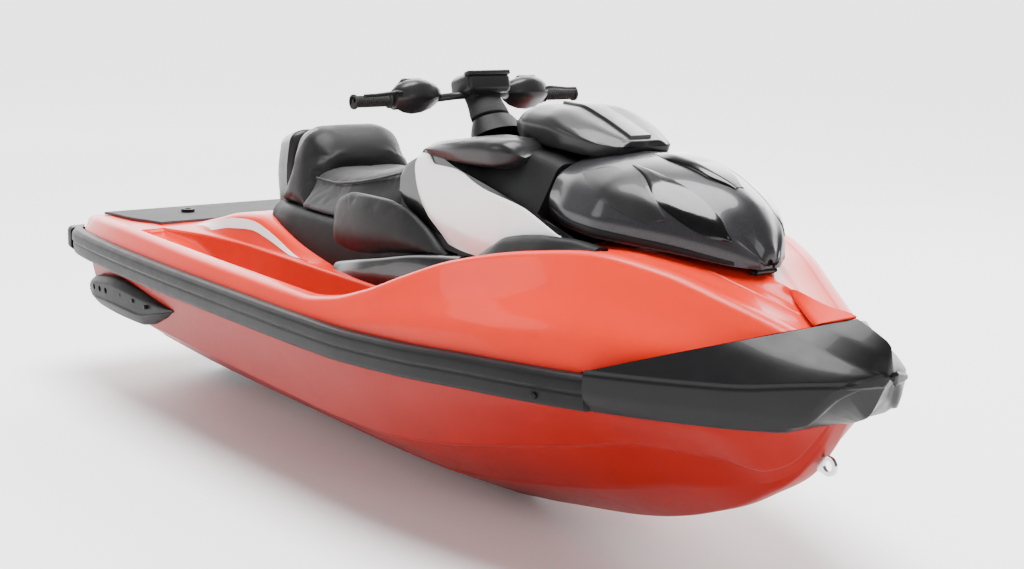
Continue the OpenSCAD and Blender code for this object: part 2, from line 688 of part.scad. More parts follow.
// ---- Jet drive
pump_len = 230;
pump_r = pump_bore_r + pump_wall;
pump_end = tunnel_x * fx - pump_len;
impeller_x = tunnel_x * fx - 120;
venturi_l = 36;
venturi_r = nozzle_r + 10;
trim_x = pump_end - 66;
running_gap = 0.05;
bearing_l = 60;
vane_t = 6;
ear_h = 36;
ear_in = pump_r - 2;
ear_out = ear_in + 14;
bucket_x = pump_end - 22;
module along_x(x, h, r1, r2) {
    translate([x, 0, pump_z]) rotate([0, 90, 0]) cylinder(r1 = r1, r2 = r2, h = h);
}
module across_y(x, y, h, r) {
    translate([x, y, pump_z]) rotate([-90, 0, 0]) cylinder(r = r, h = h);
}
module vanes() {
    for (a = [30:60:330])
        translate([pump_end + 2, 0, pump_z]) rotate([a, 0, 0])
            translate([0, -vane_t / 2, shaft_r + 8]) cube([bearing_l - 8, vane_t, pump_r - shaft_r - 12]);
}
module jet_pump() {
    color("#8c9094") difference() {
        union() {
            difference() {
                union() {
                    along_x(pump_end, pump_len, pump_r, pump_r);
                    along_x(tunnel_x * fx - 14, 14, pump_r + 22, pump_r + 22);
                    along_x(pump_end - venturi_l, venturi_l + 1, venturi_r, pump_r);
                    for (s = [-1, 1])
                        translate([trim_x + 32, s > 0 ? ear_in - 14 : -ear_out, pump_z - ear_h / 2])
                            cube([pump_len / 2, 28, ear_h]);
                    for (s = [-1, 1])
                        translate([trim_x - 20, s > 0 ? ear_in : -ear_out, pump_z - ear_h / 2])
                            cube([100, ear_out - ear_in, ear_h]);
                }
                along_x(pump_end - 1, pump_len + 2, pump_bore_r, pump_bore_r);
                along_x(pump_end - venturi_l - 1, venturi_l + 2, venturi_r - 8, pump_bore_r);
                for (s = [-1, 1])
                    across_y(trim_x, s > 0 ? ear_in - 20 : -ear_out - 20, 54, pivot_r + running_gap);
            }
            vanes();
            along_x(pump_end, bearing_l, shaft_r + 12, shaft_r + 12);
            for (s = [-1, 1])
                across_y(bucket_x, s > 0 ? ear_out - 2 : -ear_out - 20, 22, pivot_r);
        }
        along_x(pump_end - 1, bearing_l + 2, shaft_r + running_gap, shaft_r + running_gap);
    }
}
blade_r = pump_bore_r - blade_gap;
hub_r = 32;
blade_pitch = 40;
blade_chord = 44;
module impeller() {
    color("#b8bcc0") {
        along_x(impeller_x - 34, 68, hub_r, hub_r);
        along_x(pump_end + 4, (bay[0].x + 64) * fx - pump_end, shaft_r, shaft_r);
        for (k = [0:blades - 1])
            translate([impeller_x, 0, pump_z]) rotate([k * 360 / blades, 0, 0])
                rotate([0, 0, blade_pitch]) translate([-vane_t / 2, -blade_chord / 2, hub_r - vane_t])
                    cube([vane_t, blade_chord, sqrt(pow(blade_r, 2) - 400) - hub_r + vane_t]);
    }
}
ring_in = nozzle_r + 28;
ring_out = ring_in + 10;
nozzle_l = 116;
nozzle_front = 14;
module trim_ring() {
    color("#7d8185") difference() {
        union() {
            along_x(trim_x - 13, 26, ring_out, ring_out);
            for (s = [-1, 1])
                across_y(trim_x, s > 0 ? ring_in + 2 : -ear_out, ear_out - ring_in - 2, pivot_r);
        }
        along_x(trim_x - 14, 28, ring_in, ring_in);
        translate([trim_x, 0, pump_z]) cylinder(r = pivot_r + running_gap, h = 300, center = true);
    }
}
module steering_nozzle() {
    wall = 7;
    lug = [nozzle_front + 12, 2 * pivot_r + 6, 14];
    color("#6f7377") {
        difference() {
            union() {
                along_x(trim_x - nozzle_l, nozzle_l - nozzle_front, nozzle_r + wall, ring_in - 6);
                for (s = [-1, 1])
                    translate([trim_x - nozzle_front - 6, -lug.y / 2,
                        pump_z + s * (ring_in - 13) - lug.z / 2])
                        cube(lug);
            }
            along_x(trim_x - nozzle_l - 1, nozzle_l - nozzle_front + 2, nozzle_r, ring_in - 6 - wall);
        }
        for (s = [-1, 1])
            translate([trim_x, 0, s > 0 ? pump_z + ring_in - 9 : pump_z - ring_out - 4])
                cylinder(r = pivot_r, h = ring_out - ring_in + 13);
    }
}
bucket_r = 182;
bucket_t = 7;
bucket_in = ear_out + 5;
bucket_low = 20;
bucket_high = 84;
module sector(r, low, high) {
    // Pie slice seen along Y, its angles counted up from straight astern
    far = 2 * r;
    polygon([[0, 0], [-far * cos(low), far * sin(low)],
        [-far * cos((low + high) / 2), far * sin((low + high) / 2)], [-far * cos(high), far * sin(high)]]);
}
module reverse_bucket() {
    color("#3a3d40") translate([bucket_x, 0, pump_z]) rotate([90, 0, 0]) difference() {
        union() {
            translate([0, 0, -bucket_in - bucket_t]) linear_extrude(2 * (bucket_in + bucket_t))
                intersection() {
                    circle(r = bucket_r + bucket_t);
                    sector(bucket_r, bucket_low, bucket_high);
                }
            cylinder(r = pivot_r + 12, h = 2 * (bucket_in + bucket_t), center = true);
        }
        cylinder(r = bucket_r, h = 2 * bucket_in, center = true);
        cylinder(r = pivot_r + running_gap, h = 400, center = true);
    }
}
plate_t = 12;
module ride_plate() {
    // Closes the bottom of the jet tunnel, flush with the vee of the hull
    half = tunnel_w / 2 - fit_gap;
    color("#55585c") difference() {
        intersection() {
            hull_solid();
            box_between([transom_x * fx + 4, -half, -draft], [tunnel_x * fx - fit_gap, half, pump_z]);
        }
        translate([0, 0, plate_t]) hull_solid();
    }
}
bar_t = 8;
module intake_grate() {
    // Bars step up from the keel with the vee; two cross bars hold them in the duct
    color("#8c9094") {
        for (k = [-2:2])
            translate([tunnel_x * fx + 92, k * 28 - bar_t / 2, -draft + 4 + 8 * abs(k)])
                cube([250, bar_t, 28 - 8 * abs(k)]);
        for (x = [100, 326])
            translate([tunnel_x * fx + x, -duct_w / 2 + fit_gap, -draft + 24])
                cube([12, duct_w - 2 * fit_gap, 10]);
    }
}

// ---- Fittings
anchor_x = -1400;
anchor_h = 20;
anchor_wall = 12;
module accessory_anchors() {
    color("#1d1e20") for (s = [-1, 1])
        translate([anchor_x * fx, s * anchor_spacing / 2, along(crest_z, anchor_x) + 3.4])
            difference() {
                cylinder(r = anchor_bore_r + anchor_wall, h = anchor_h);
                translate([0, 0, 4]) cylinder(r = anchor_bore_r, h = anchor_h);
            }
}
eye_foot = 4;
module eye(reach) {
    // Upright plate with a round eye, its base at x = 0 and the eye ahead of it
    difference() {
        union() {
            translate([reach, 0, 0]) rotate([90, 0, 0])
                cylinder(r = eye_hole_r + 2 * eye_rod_r, h = 2 * eye_rod_r, center = true);
            translate([-eye_foot, -eye_rod_r, -eye_hole_r - eye_rod_r])
                cube([reach + eye_foot, 2 * eye_rod_r, 2 * (eye_hole_r + eye_rod_r)]);
        }
        translate([reach, 0, 0]) rotate([90, 0, 0])
            cylinder(r = eye_hole_r, h = 4 * eye_rod_r, center = true);
    }
}
eye_reach = eye_hole_r + 2 * eye_rod_r + 2;
stern_eye_y = 330;
stern_eye_z = 100;
module stern_eyes() {
    color("#c9cccf") for (s = [-1, 1])
        translate([transom_x * fx - eye_foot - fit_gap, s * stern_eye_y * fy, stern_eye_z])
            mirror([1, 0, 0]) eye(eye_reach);
}
bow_eye_x = 1460;
bow_eye_z = 98;
module bow_eye() {
    color("#c9cccf") difference() {
        translate([bow_eye_x * fx + 6, 0, bow_eye_z]) eye(eye_reach);
        translate([fit_gap, 0, 0]) hull_solid();
    }
}

hull();
deck();
side_bumper_right();
side_bumper_left();
bow_bumper();
sponson_right();
sponson_left();
footwell_mat_right();
footwell_mat_left();
platform_mat();
accessory_anchors();
stern_eyes();
bow_eye();
engine_block();
seat_base();
seat_cushion();
seat_bolster();
seat_cowl();
console();
side_panel_right();
side_panel_left();
knee_shroud_right();
knee_shroud_left();
console_cover_right();
console_cover_left();
upper_fairing();
hood_tray();
hood();
hood_insert();
glovebox_lid();
steering_column();
steering_neck();
handlebar();
display_pod();
grip_right();
grip_left();
control_right();
control_left();
jet_pump();
impeller();
trim_ring();
steering_nozzle();
reverse_bucket();
ride_plate();
intake_grate();
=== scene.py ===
"""Sit-down personal watercraft: shells, padded seat, trim and finishes round its CAD frame."""

import math

import bpy
from mathutils import Matrix, Vector


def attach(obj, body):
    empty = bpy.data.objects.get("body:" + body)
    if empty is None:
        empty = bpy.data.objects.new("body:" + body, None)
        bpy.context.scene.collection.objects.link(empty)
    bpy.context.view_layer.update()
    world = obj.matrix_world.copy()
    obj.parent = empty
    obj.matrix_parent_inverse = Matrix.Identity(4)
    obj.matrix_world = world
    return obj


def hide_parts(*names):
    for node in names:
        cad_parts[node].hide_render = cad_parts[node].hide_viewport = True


bl_info = {
    "name": "Personal Watercraft",
    "version": (1, 0, 0),
    "blender": (4, 5, 0),
    "location": "View3D > Sidebar > Watercraft",
    "description": "Builds the visible pieces of a sit-down personal watercraft",
    "category": "Add Mesh",
}

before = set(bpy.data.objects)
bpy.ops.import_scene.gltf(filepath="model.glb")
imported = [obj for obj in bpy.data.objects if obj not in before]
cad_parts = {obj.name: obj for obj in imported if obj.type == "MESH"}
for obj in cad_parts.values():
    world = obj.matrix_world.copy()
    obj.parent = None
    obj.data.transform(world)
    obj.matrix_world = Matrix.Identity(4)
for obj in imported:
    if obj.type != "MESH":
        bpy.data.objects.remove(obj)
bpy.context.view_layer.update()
MM = 0.001
SIDES = ((1, "left"), (-1, "right"))

# Curves of the body: x to value, in millimetres, forward from the stern
SHEER_Y = [(-1656, 530), (-1550, 580), (-1300, 606), (-1000, 620), (-600, 627), (-100, 627),
           (200, 621), (500, 598), (800, 546), (1000, 488), (1150, 425), (1300, 340), (1400, 272),
           (1500, 205), (1580, 142), (1630, 84), (1656, 22)]
SHEER_Z = [(-1656, 215), (200, 215), (500, 225), (800, 240), (1100, 246), (1656, 250)]
CREST_Y = [(-1656, 470), (-1500, 515), (-1200, 545), (-600, 565), (0, 566), (200, 556), (400, 528),
           (600, 478), (800, 405), (1000, 325), (1150, 260), (1300, 190), (1452, 122), (1550, 88),
           (1630, 45), (1656, 12)]
CREST_Z = [(-1656, 284), (-1500, 298), (-1200, 308), (-600, 302), (0, 298), (150, 318), (300, 362),
           (450, 424), (600, 482), (800, 530), (1000, 552), (1150, 530), (1300, 480), (1452, 424),
           (1550, 390), (1630, 362), (1656, 351)]
KEEL_Z = [(-1480, -264), (-1358, -271), (-1112, -281), (-850, -285), (300, -285), (450, -270),
          (620, -243), (830, -207), (930, -184), (1042, -150), (1143, -110), (1236, -69),
          (1320, -18),
          (1382, 22), (1424, 57), (1468, 110), (1496, 152), (1530, 225)]
KEEL_Y = [(-1480, 34), (0, 30), (500, 14), (1100, 14), (1400, 34), (1530, 30)]
CHINE_Y = [(-1480, 508), (-1000, 520), (0, 514), (300, 490), (500, 448), (700, 394), (900, 322),
           (1100, 226), (1250, 140), (1350, 92), (1420, 66), (1530, 40)]
CHINE_Z = [(-1480, 14), (-1000, 0), (0, -30), (300, -36), (500, -22), (700, 10), (900, 48),
           (1100, 86), (1250, 82), (1350, 66), (1420, 92), (1530, 226)]
WELL_IN = [(-1150, 420), (-950, 350), (-700, 322), (0, 318), (420, 300)]
WELL_FLOOR = [(-1156, 310), (-1150, 292), (-1050, 262), (-820, 152), (-700, 120), (300, 120),
              (408, 176), (420, 190), (424, 420)]
PEDESTAL_TOP = [(-1200, 310), (-1000, 358), (-880, 388), (-760, 398), (-660, 382), (-500, 344),
                (-300, 312), (-240, 304)]
PEDESTAL_Y = [(-1200, 300), (-1000, 318), (-700, 300), (-240, 290)]
SIDE_Y = [(-40, 200), (200, 235), (400, 262), (600, 280), (800, 285), (950, 280)]
TRANSOM_X, TUNNEL_END, TUNNEL_Y, TUNNEL_TOP = -1480, -1180, 150, 75
CAP_PLANE = (Vector((1.110, 0, 0.300)), Vector((-0.37, 0, 1)).normalized())


def along(table, x):
    """Smooth curve through a table that never overshoots its points"""
    last = len(table) - 1
    i = 0
    while i < last - 1 and x >= table[i + 1][0]:
        i += 1

    def rise(k):
        return (table[k + 1][1] - table[k][1]) / (table[k + 1][0] - table[k][0])

    def tangent(k):
        if k in (0, last):
            return rise(min(k, last - 1))
        a, b = rise(k - 1), rise(k)
        return 0 if a * b <= 0 else 2 * a * b / (a + b)

    h = table[i + 1][0] - table[i][0]
    s = min(1, max(0, (x - table[i][0]) / h))
    q, c = s * s, s * s * s
    return ((2 * c - 3 * q + 1) * table[i][1] + (c - 2 * q + s) * h * tangent(i)
            + (3 * q - 2 * c) * table[i + 1][1] + (c - q) * h * tangent(i + 1))


def steps(a, b, size):
    """Even stations from a to b, about size apart"""
    n = max(1, round(abs(b - a) / size))
    return [a + (b - a) * k / n for k in range(n + 1)]


def rounded(points, radii, n=4, share=0.46):
    """Points of an open outline, its corners eased by their radii up to a share of their legs"""
    out = [points[0]]
    for a, b, c, r in zip(points, points[1:], points[2:], radii):
        a, b, c = Vector(a), Vector(b), Vector(c)
        u, v = a - b, c - b
        t = min(r, share * u.length, share * v.length)
        p, q = b + u.normalized() * t, b + v.normalized() * t
        for k in range(n + 1):
            s = k / n
            out.append(tuple(p * (1 - s) ** 2 + b * 2 * s * (1 - s) + q * s * s))
    out.append(points[-1])
    return out


def rounded_ring(points, radius, n=4):
    """Points of a closed outline with each corner eased by one radius or its own"""
    radii = radius if isinstance(radius, (list, tuple)) else [radius] * len(points)
    out = rounded([points[-1]] + list(points) + [points[0]], radii, n)
    return out[1:-1]


def deselect():
    if bpy.context.mode != "OBJECT":
        bpy.ops.object.mode_set(mode="OBJECT")
    bpy.ops.object.select_all(action="DESELECT")


def activate(obj):
    deselect()
    obj.select_set(True)
    bpy.context.view_layer.objects.active = obj


def in_edit(obj, *operations):
    """Run edit-mode operators on the whole of a piece"""
    activate(obj)
    bpy.ops.object.mode_set(mode="EDIT")
    bpy.ops.mesh.select_mode(type="VERT")
    bpy.ops.mesh.select_all(action="SELECT")
    for operation in operations:
        operation()
    bpy.ops.object.mode_set(mode="OBJECT")


def recalculate():
    bpy.ops.mesh.remove_doubles(threshold=0.00002)
    bpy.ops.mesh.select_all(action="SELECT")
    bpy.ops.mesh.normals_make_consistent(inside=False)


def apply_modifier(obj, kind, **settings):
    activate(obj)
    mod = obj.modifiers.new(kind.title(), kind)
    for key, value in settings.items():
        setattr(mod, key, value)
    bpy.ops.object.modifier_apply(modifier=mod.name)


def bevel_over(obj, width, angle, segments=2):
    """Ease only the edges sharper than an angle"""
    apply_modifier(obj, "BEVEL", width=width, segments=segments, limit_method="ANGLE",
                   angle_limit=math.radians(angle))


def shade(obj, angle=32):
    activate(obj)
    bpy.ops.object.shade_smooth_by_angle(angle=math.radians(angle))


def loft(name, rings, closed=False):
    """Grid primitive through rings of millimetre points; a closed one ends in their middles"""
    rings = [list(r) for r in rings]
    if closed:
        rings = [r + [r[0]] for r in rings]
        for end, at in ((0, 0), (-1, len(rings) + 1)):
            ring = rings[end]
            middle = tuple(sum(p[k] for p in ring) / len(ring) for k in range(3))
            rings.insert(at, [middle] * len(ring))
    deselect()
    bpy.ops.mesh.primitive_grid_add(x_subdivisions=len(rings[0]) - 1,
                                    y_subdivisions=len(rings) - 1, size=1)
    obj = bpy.context.active_object
    obj.name = obj.data.name = name
    flat = [value * MM for ring in rings for point in ring for value in point]
    obj.data.vertices.foreach_set("co", flat)
    obj.data.update()
    if closed:
        in_edit(obj, recalculate)
    return obj


def solid(name, rings, side=1):
    """Closed piece through rings, as drawn for port or mirrored to starboard"""
    return loft(name, mirrored(rings, side), closed=True)


def at_x(x, outline):
    """Outline of y and z points set at a station"""
    return [(x, y, z) for y, z in outline]


def both_sides(x, half):
    """Full section from starboard to port out of its port half, which starts at the centre plane"""
    return at_x(x, [(-y, z) for y, z in reversed(half[1:])] + list(half))


def span(x, half):
    """Full section from port to starboard out of its port half, which ends at the centre plane"""
    port = at_x(x, half)
    return port + [(x, -y, z) for y, z in reversed(half[:-1] if abs(half[-1][0]) < 0.01 else half)]


def mirrored(rings, side):
    return [[(x, y * side, z) for x, y, z in ring] for ring in rings]


def joined(name, objects):
    deselect()
    for obj in objects:
        obj.select_set(True)
    bpy.context.view_layer.objects.active = objects[0]
    bpy.ops.object.join()
    objects[0].name = objects[0].data.name = name
    return objects[0]


def block(name, size, centre, bevel=0, segments=3):
    """Cube primitive with eased edges, set in place, in millimetres"""
    deselect()
    bpy.ops.mesh.primitive_cube_add(size=1)
    obj = bpy.context.active_object
    obj.name = obj.data.name = name
    obj.data.transform(Matrix.Diagonal((*[side * MM for side in size], 1)))
    if bevel:
        apply_modifier(obj, "BEVEL", width=bevel * MM, segments=segments)
    obj.data.transform(Matrix.Translation(Vector(centre) * MM))
    return obj


def rod(name, a, b, r, segments=24, r2=None):
    """Cylinder or cone between two millimetre points"""
    a, b = Vector(a) * MM, Vector(b) * MM
    deselect()
    bpy.ops.mesh.primitive_cone_add(vertices=segments, radius1=r * MM,
                                    radius2=(r if r2 is None else r2) * MM, depth=(b - a).length)
    obj = bpy.context.active_object
    obj.name = obj.data.name = name
    turn = (b - a).to_track_quat("Z", "Y").to_matrix().to_4x4()
    obj.data.transform(Matrix.Translation((a + b) / 2) @ turn)
    return obj


def tube(name, points, r, sides=16):
    """Round tube swept along millimetre points, closed at both ends"""
    points = [Vector(p) for p in points]
    rings = []
    normal = None
    for i, p in enumerate(points):
        ahead = points[min(i + 1, len(points) - 1)] - points[max(i - 1, 0)]
        ahead.normalize()
        if normal is None:
            normal = ahead.orthogonal().normalized()
        normal = (normal - ahead * normal.dot(ahead)).normalized()
        other = ahead.cross(normal)
        radius = r(i / (len(points) - 1)) if callable(r) else r
        rings.append([tuple(p + normal * math.cos(a) * radius + other * math.sin(a) * radius)
                      for a in (2 * math.pi * k / sides for k in range(sides))])
    return solid(name, rings)


def settle(obj, body, material, nodes=(), angle=32):
    """Last steps of each piece: smooth shading, finish, body and the CAD nodes it stands for"""
    shade(obj, angle)
    obj.data.materials.clear()
    obj.data.materials.append(material)
    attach(obj, body)
    if nodes:
        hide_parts(*nodes)
    return obj


# ---- Finishes


def linked(tree, kind, **inputs):
    """Shader node with its inputs set or linked; an underscore stands for a space"""
    node = tree.nodes.new(kind)
    for key, value in inputs.items():
        socket = node.inputs[key.replace("_", " ")]
        if hasattr(value, "is_output"):
            tree.links.new(value, socket)
        else:
            socket.default_value = value
    return node


def finish(name, colour, rough, metal=0.0, coat=0.0, mottle=0.08, mottle_scale=9.0, grain=0.0,
           grain_scale=700.0, spread=0.08, flakes=0.0, cells=False, ribs=None, sheen=0.0,
           shine=0.25):
    """Moulded, painted or sewn surface: mottled colour, uneven gloss and its own grain"""
    mat = bpy.data.materials.new(name)
    mat.use_nodes = True
    tree = mat.node_tree
    shader = tree.nodes["Principled BSDF"]
    where = tree.nodes.new("ShaderNodeTexCoord").outputs["Object"]
    cloud = linked(tree, "ShaderNodeTexNoise", Vector=where, Scale=mottle_scale, Detail=5.0)
    ramp = linked(tree, "ShaderNodeValToRGB", Fac=cloud.outputs["Fac"])
    for element, position, change in zip(ramp.color_ramp.elements, (0.3, 0.72), (-mottle, mottle)):
        element.position = position
        element.color = (*[min(1, c * (1 + change)) for c in colour], 1)
    out = ramp.outputs["Color"]
    if flakes:
        specks = linked(tree, "ShaderNodeTexVoronoi", Vector=where, Scale=1800.0)
        bright = linked(tree, "ShaderNodeMapRange", Value=specks.outputs["Color"],
                        From_Min=0.55, To_Max=0.5)
        mix = linked(tree, "ShaderNodeMixRGB", Fac=flakes, Color1=out,
                     Color2=bright.outputs["Result"])
        mix.blend_type = "ADD"
        out = mix.outputs["Color"]
    tree.links.new(out, shader.inputs["Base Color"])
    haze = linked(tree, "ShaderNodeTexNoise", Vector=where, Scale=mottle_scale * 3.3, Detail=6.0)
    gloss = linked(tree, "ShaderNodeMapRange", Value=haze.outputs["Fac"],
                   To_Min=max(0.02, rough - spread), To_Max=min(1, rough + spread))
    tree.links.new(gloss.outputs["Result"], shader.inputs["Roughness"])
    for socket, value in (("Specular IOR Level", shine), ("Metallic", metal), ("Coat Weight", coat),
                          ("Coat Roughness", 0.04), ("Sheen Weight", sheen)):
        shader.inputs[socket].default_value = value
    if cells:
        skin = linked(tree, "ShaderNodeTexVoronoi", Vector=where, Scale=grain_scale)
        skin.feature = "DISTANCE_TO_EDGE"
        height = skin.outputs["Distance"]
    else:
        skin = linked(tree, "ShaderNodeTexNoise", Vector=where, Scale=grain_scale, Detail=3.0)
        height = skin.outputs["Fac"]
    bump = linked(tree, "ShaderNodeBump", Height=height, Strength=grain, Distance=0.0006)
    normal = bump.outputs["Normal"]
    if ribs:
        normal = rib_bump(tree, where, ribs, normal)
    tree.links.new(normal, shader.inputs["Normal"])
    return mat


def rib_bump(tree, where, ribs, normal):
    """Fine moulded grooves across one axis, over the grain"""
    axis, pitch, depth = ribs
    wave = linked(tree, "ShaderNodeTexWave", Vector=where, Scale=0.05 / pitch * math.pi * 2)
    wave.bands_direction = axis
    wave.wave_profile = "SIN"
    bump = linked(tree, "ShaderNodeBump", Height=wave.outputs["Fac"], Strength=0.9, Distance=depth)
    tree.links.new(normal, bump.inputs["Normal"])
    return bump.outputs["Normal"]


FINISHES = {}


def make_finishes():
    made = {
        "deck_gelcoat": dict(colour=DECK, rough=0.34, coat=0.1, shine=0.15, mottle=0.03,
                             spread=0.05, grain=0.02,
                             grain_scale=60),
        "hull_gelcoat": dict(colour=HULL, rough=0.38, coat=0.05, shine=0.12, mottle=0.05,
                             spread=0.06, grain=0.03,
                             grain_scale=60),
        "satin_black": dict(colour=(0.006, 0.006, 0.0066), rough=0.44, mottle=0.15, shine=0.14,
                            grain=0.25,
                            grain_scale=1400),
        "nose_black": dict(colour=(0.007, 0.0068, 0.0075), rough=0.40, mottle=0.12, shine=0.16,
                           grain=0.2,
                           grain_scale=1400, coat=0.05),
        "sponson_plastic": dict(colour=(0.009, 0.0088, 0.009), shine=0.18, rough=0.5, mottle=0.12,
                                grain=0.35,
                                grain_scale=900),
        "mat_foam": dict(colour=(0.085, 0.083, 0.086), rough=0.88, mottle=0.1, grain=0.5,
                         grain_scale=1500, ribs=("X", 0.018, 0.0016)),
        "trim_plastic": dict(colour=(0.006, 0.006, 0.0066), shine=0.14, rough=0.52, mottle=0.15,
                             grain=0.35,
                             grain_scale=1100),
        "cover_plastic": dict(colour=(0.013, 0.0128, 0.0135), shine=0.2, rough=0.36, mottle=0.08,
                              grain=0.15,
                              grain_scale=1200, coat=0.1),
        "hood_lacquer": dict(colour=(0.018, 0.0175, 0.020), rough=0.32, metal=0.35, coat=0.25,
                             shine=0.2,
                             mottle=0.06, flakes=0.1, spread=0.04, grain=0.03, grain_scale=80),
        "piano_black": dict(colour=(0.003, 0.003, 0.0034), rough=0.18, coat=0.3, shine=0.2,
                            mottle=0.2,
                            spread=0.03, grain=0.02, grain_scale=60),
        "white_gelcoat": dict(colour=(0.88, 0.875, 0.87), rough=0.25, coat=0.8, mottle=0.012,
                              spread=0.05, grain=0.02, grain_scale=60),
        "seat_vinyl": dict(colour=(0.007, 0.0069, 0.0073), rough=0.48, mottle=0.1, grain=0.55,
                           grain_scale=420, cells=True, shine=0.2),
        "seat_vinyl_grey": dict(colour=(0.034, 0.0335, 0.035), rough=0.52, mottle=0.08, grain=0.55,
                                grain_scale=420, cells=True, shine=0.2),
        "seat_vinyl_pale": dict(colour=(0.12, 0.118, 0.12), rough=0.5, mottle=0.06, grain=0.5,
                                grain_scale=420, cells=True, sheen=0.1),
        "thread": dict(colour=(0.30, 0.30, 0.30), rough=0.7, mottle=0.2, grain=0.4,
                       grain_scale=2500),
        "bar_paint": dict(colour=(0.018, 0.018, 0.018), rough=0.4, metal=0.3, grain=0.15,
                          grain_scale=1800),
        "grip_rubber": dict(colour=(0.016, 0.016, 0.016), rough=0.8, grain=0.6, grain_scale=1600),
        "screen_glass": dict(colour=(0.006, 0.008, 0.010), rough=0.08, coat=1.0, mottle=0.3,
                             spread=0.02, grain=0.01, grain_scale=40),
        "stainless": dict(colour=(0.62, 0.62, 0.63), rough=0.22, metal=1.0, mottle=0.06, grain=0.08,
                          grain_scale=900),
        "cast_alloy": dict(colour=(0.11, 0.112, 0.118), rough=0.5, metal=0.6, mottle=0.12,
                           grain=0.5,
                           grain_scale=500),
        "pump_steel": dict(colour=(0.42, 0.42, 0.43), rough=0.32, metal=0.95, mottle=0.1,
                           grain=0.25,
                           grain_scale=300),
        "engine_paint": dict(colour=(0.18, 0.18, 0.185), rough=0.55, metal=0.3, mottle=0.2,
                             grain=0.6,
                             grain_scale=260),
        "button_red": dict(colour=(0.55, 0.02, 0.015), rough=0.35, mottle=0.05, grain=0.1),
        "studio_floor": dict(colour=(0.96, 0.96, 0.96), rough=0.9, mottle=0.012, mottle_scale=1.5,
                             grain=0.05, grain_scale=200),
    }
    for name, settings in made.items():
        FINISHES[name] = finish(name, **settings)


DECK = (0.66, 0.020, 0.005)
HULL = (0.25, 0.0055, 0.0022)
CARRIED = {
    "engine_block": "engine_paint", "steering_column": "trim_plastic", "jet_pump": "pump_steel",
    "impeller": "pump_steel", "trim_ring": "cast_alloy", "steering_nozzle": "cast_alloy",
    "reverse_bucket": "cast_alloy", "ride_plate": "cast_alloy", "intake_grate": "cast_alloy",
    "stern_eyes": "stainless", "bow_eye": "stainless", "accessory_anchors": "trim_plastic",
    "platform_mat": "mat_foam",
}


# ---- Sections of the body


def sheer(x):
    return along(SHEER_Y, x)


def bond(x):
    return along(SHEER_Z, x)


def hull_section(x):
    w, zb, k = max(14, sheer(x) - 42), bond(x), along(KEEL_Z, x)
    cy = min(along(CHINE_Y, x), w - 2)
    cz = max(k + 2, along(CHINE_Z, x))
    my = max(cy * 0.52, along(KEEL_Y, x) + 2)
    mz = k + (cz - k) * 0.46
    points = [(w, zb), (w - (w - cy) * 0.25, zb - (zb - cz) * 0.35),
              (cy + (w - cy) * 0.30, cz + (zb - cz) * 0.28), (cy, cz),
              (cy - min(26, cy * 0.1), cz - min(8, (cz - k) * 0.05)),
              (my + min(12, my * 0.1), mz + min(2, (cz - k) * 0.01)),
              (my, mz - min(10, (cz - k) * 0.06)), (min(along(KEEL_Y, x), cy * 0.5), k), (0, k - 1)]
    return rounded(points, [70, 34, 5, 8, 8, 6, 22], 4)


def deck_section(x):
    w, zb = max(8, sheer(x) - 42), bond(x) + 1
    y, z = min(along(CREST_Y, x), w - 1), along(CREST_Z, x)
    floor = min(along(WELL_FLOOR, x), z) if -1156 < x < 424 else z
    a = along(WELL_IN, x)
    b = min(y - 46, 500)
    depth = max(0, z - floor)
    a, b = min(a, y - 120), max(b, min(a, y - 120) + 60)
    lift = min(1, depth / 60)
    top = max(z + 2, along(PEDESTAL_TOP, x)) if -1200 < x < -240 else z + 2
    ped = min(along(PEDESTAL_Y, x), a - 14)
    points = [(w, zb), (w, zb + (z - zb) * 0.12), (w - (w - y) * 0.12, zb + (z - zb) * 0.42),
              (y + (w - y) * 0.38, z - (z - zb) * 0.30), (y, z - 4), (y - 16, z + 2),
              (b + 8, z + 2), (b - 4 * lift, floor + 34 * lift), (b - 34 * lift, floor),
              (a + 26 * lift, floor), (a, floor + 26 * lift), (a - 2, z + 1 - lift),
              (ped + 10, z + 2), (ped - 12, top - 10 if top > z + 14 else z + 2),
              (ped - 34, top + (crown(x) - 2) * 0.4),
              (0, top + crown(x) - 2)]
    return rounded(points, [6, 30, 30, 9, 9, 12, 14, 14, 14, 14, 8, 8, 10, 12], 4)


def strake_section(x):
    w, z = sheer(x), bond(x)
    lo, hi = z - 46, z + 41
    points = [(w - 41, hi), (w - 14, hi), (w - 2, hi - 12), (w - 1, z + 4), (w - 7, z - 2),
              (w - 5, z - 9),
              (w - 8, lo + 8), (w - 14, lo), (w - 41, lo)]
    return rounded(points, [4, 5, 3, 3, 3, 6, 4], 3)


class HullSettings(bpy.types.PropertyGroup):
    """Sizes of the hull and deck shells"""

    wall: bpy.props.FloatProperty(name="Wall", description="Thickness of the laminate shells",
                                  default=0.005, min=0.002, max=0.012, unit="LENGTH")
    station: bpy.props.FloatProperty(name="Station spacing", description="Spacing of the sections",
                                     default=0.022, min=0.01, max=0.06, unit="LENGTH")


def clip_above(obj, keep_above, shift=0.0):
    """Cut a shell by the sloping plane where the bow cap takes over"""
    point, normal = CAP_PLANE
    in_edit(obj, lambda: bpy.ops.mesh.bisect(
        plane_co=point + normal * shift, plane_no=normal, use_fill=False,
        clear_inner=keep_above, clear_outer=not keep_above))


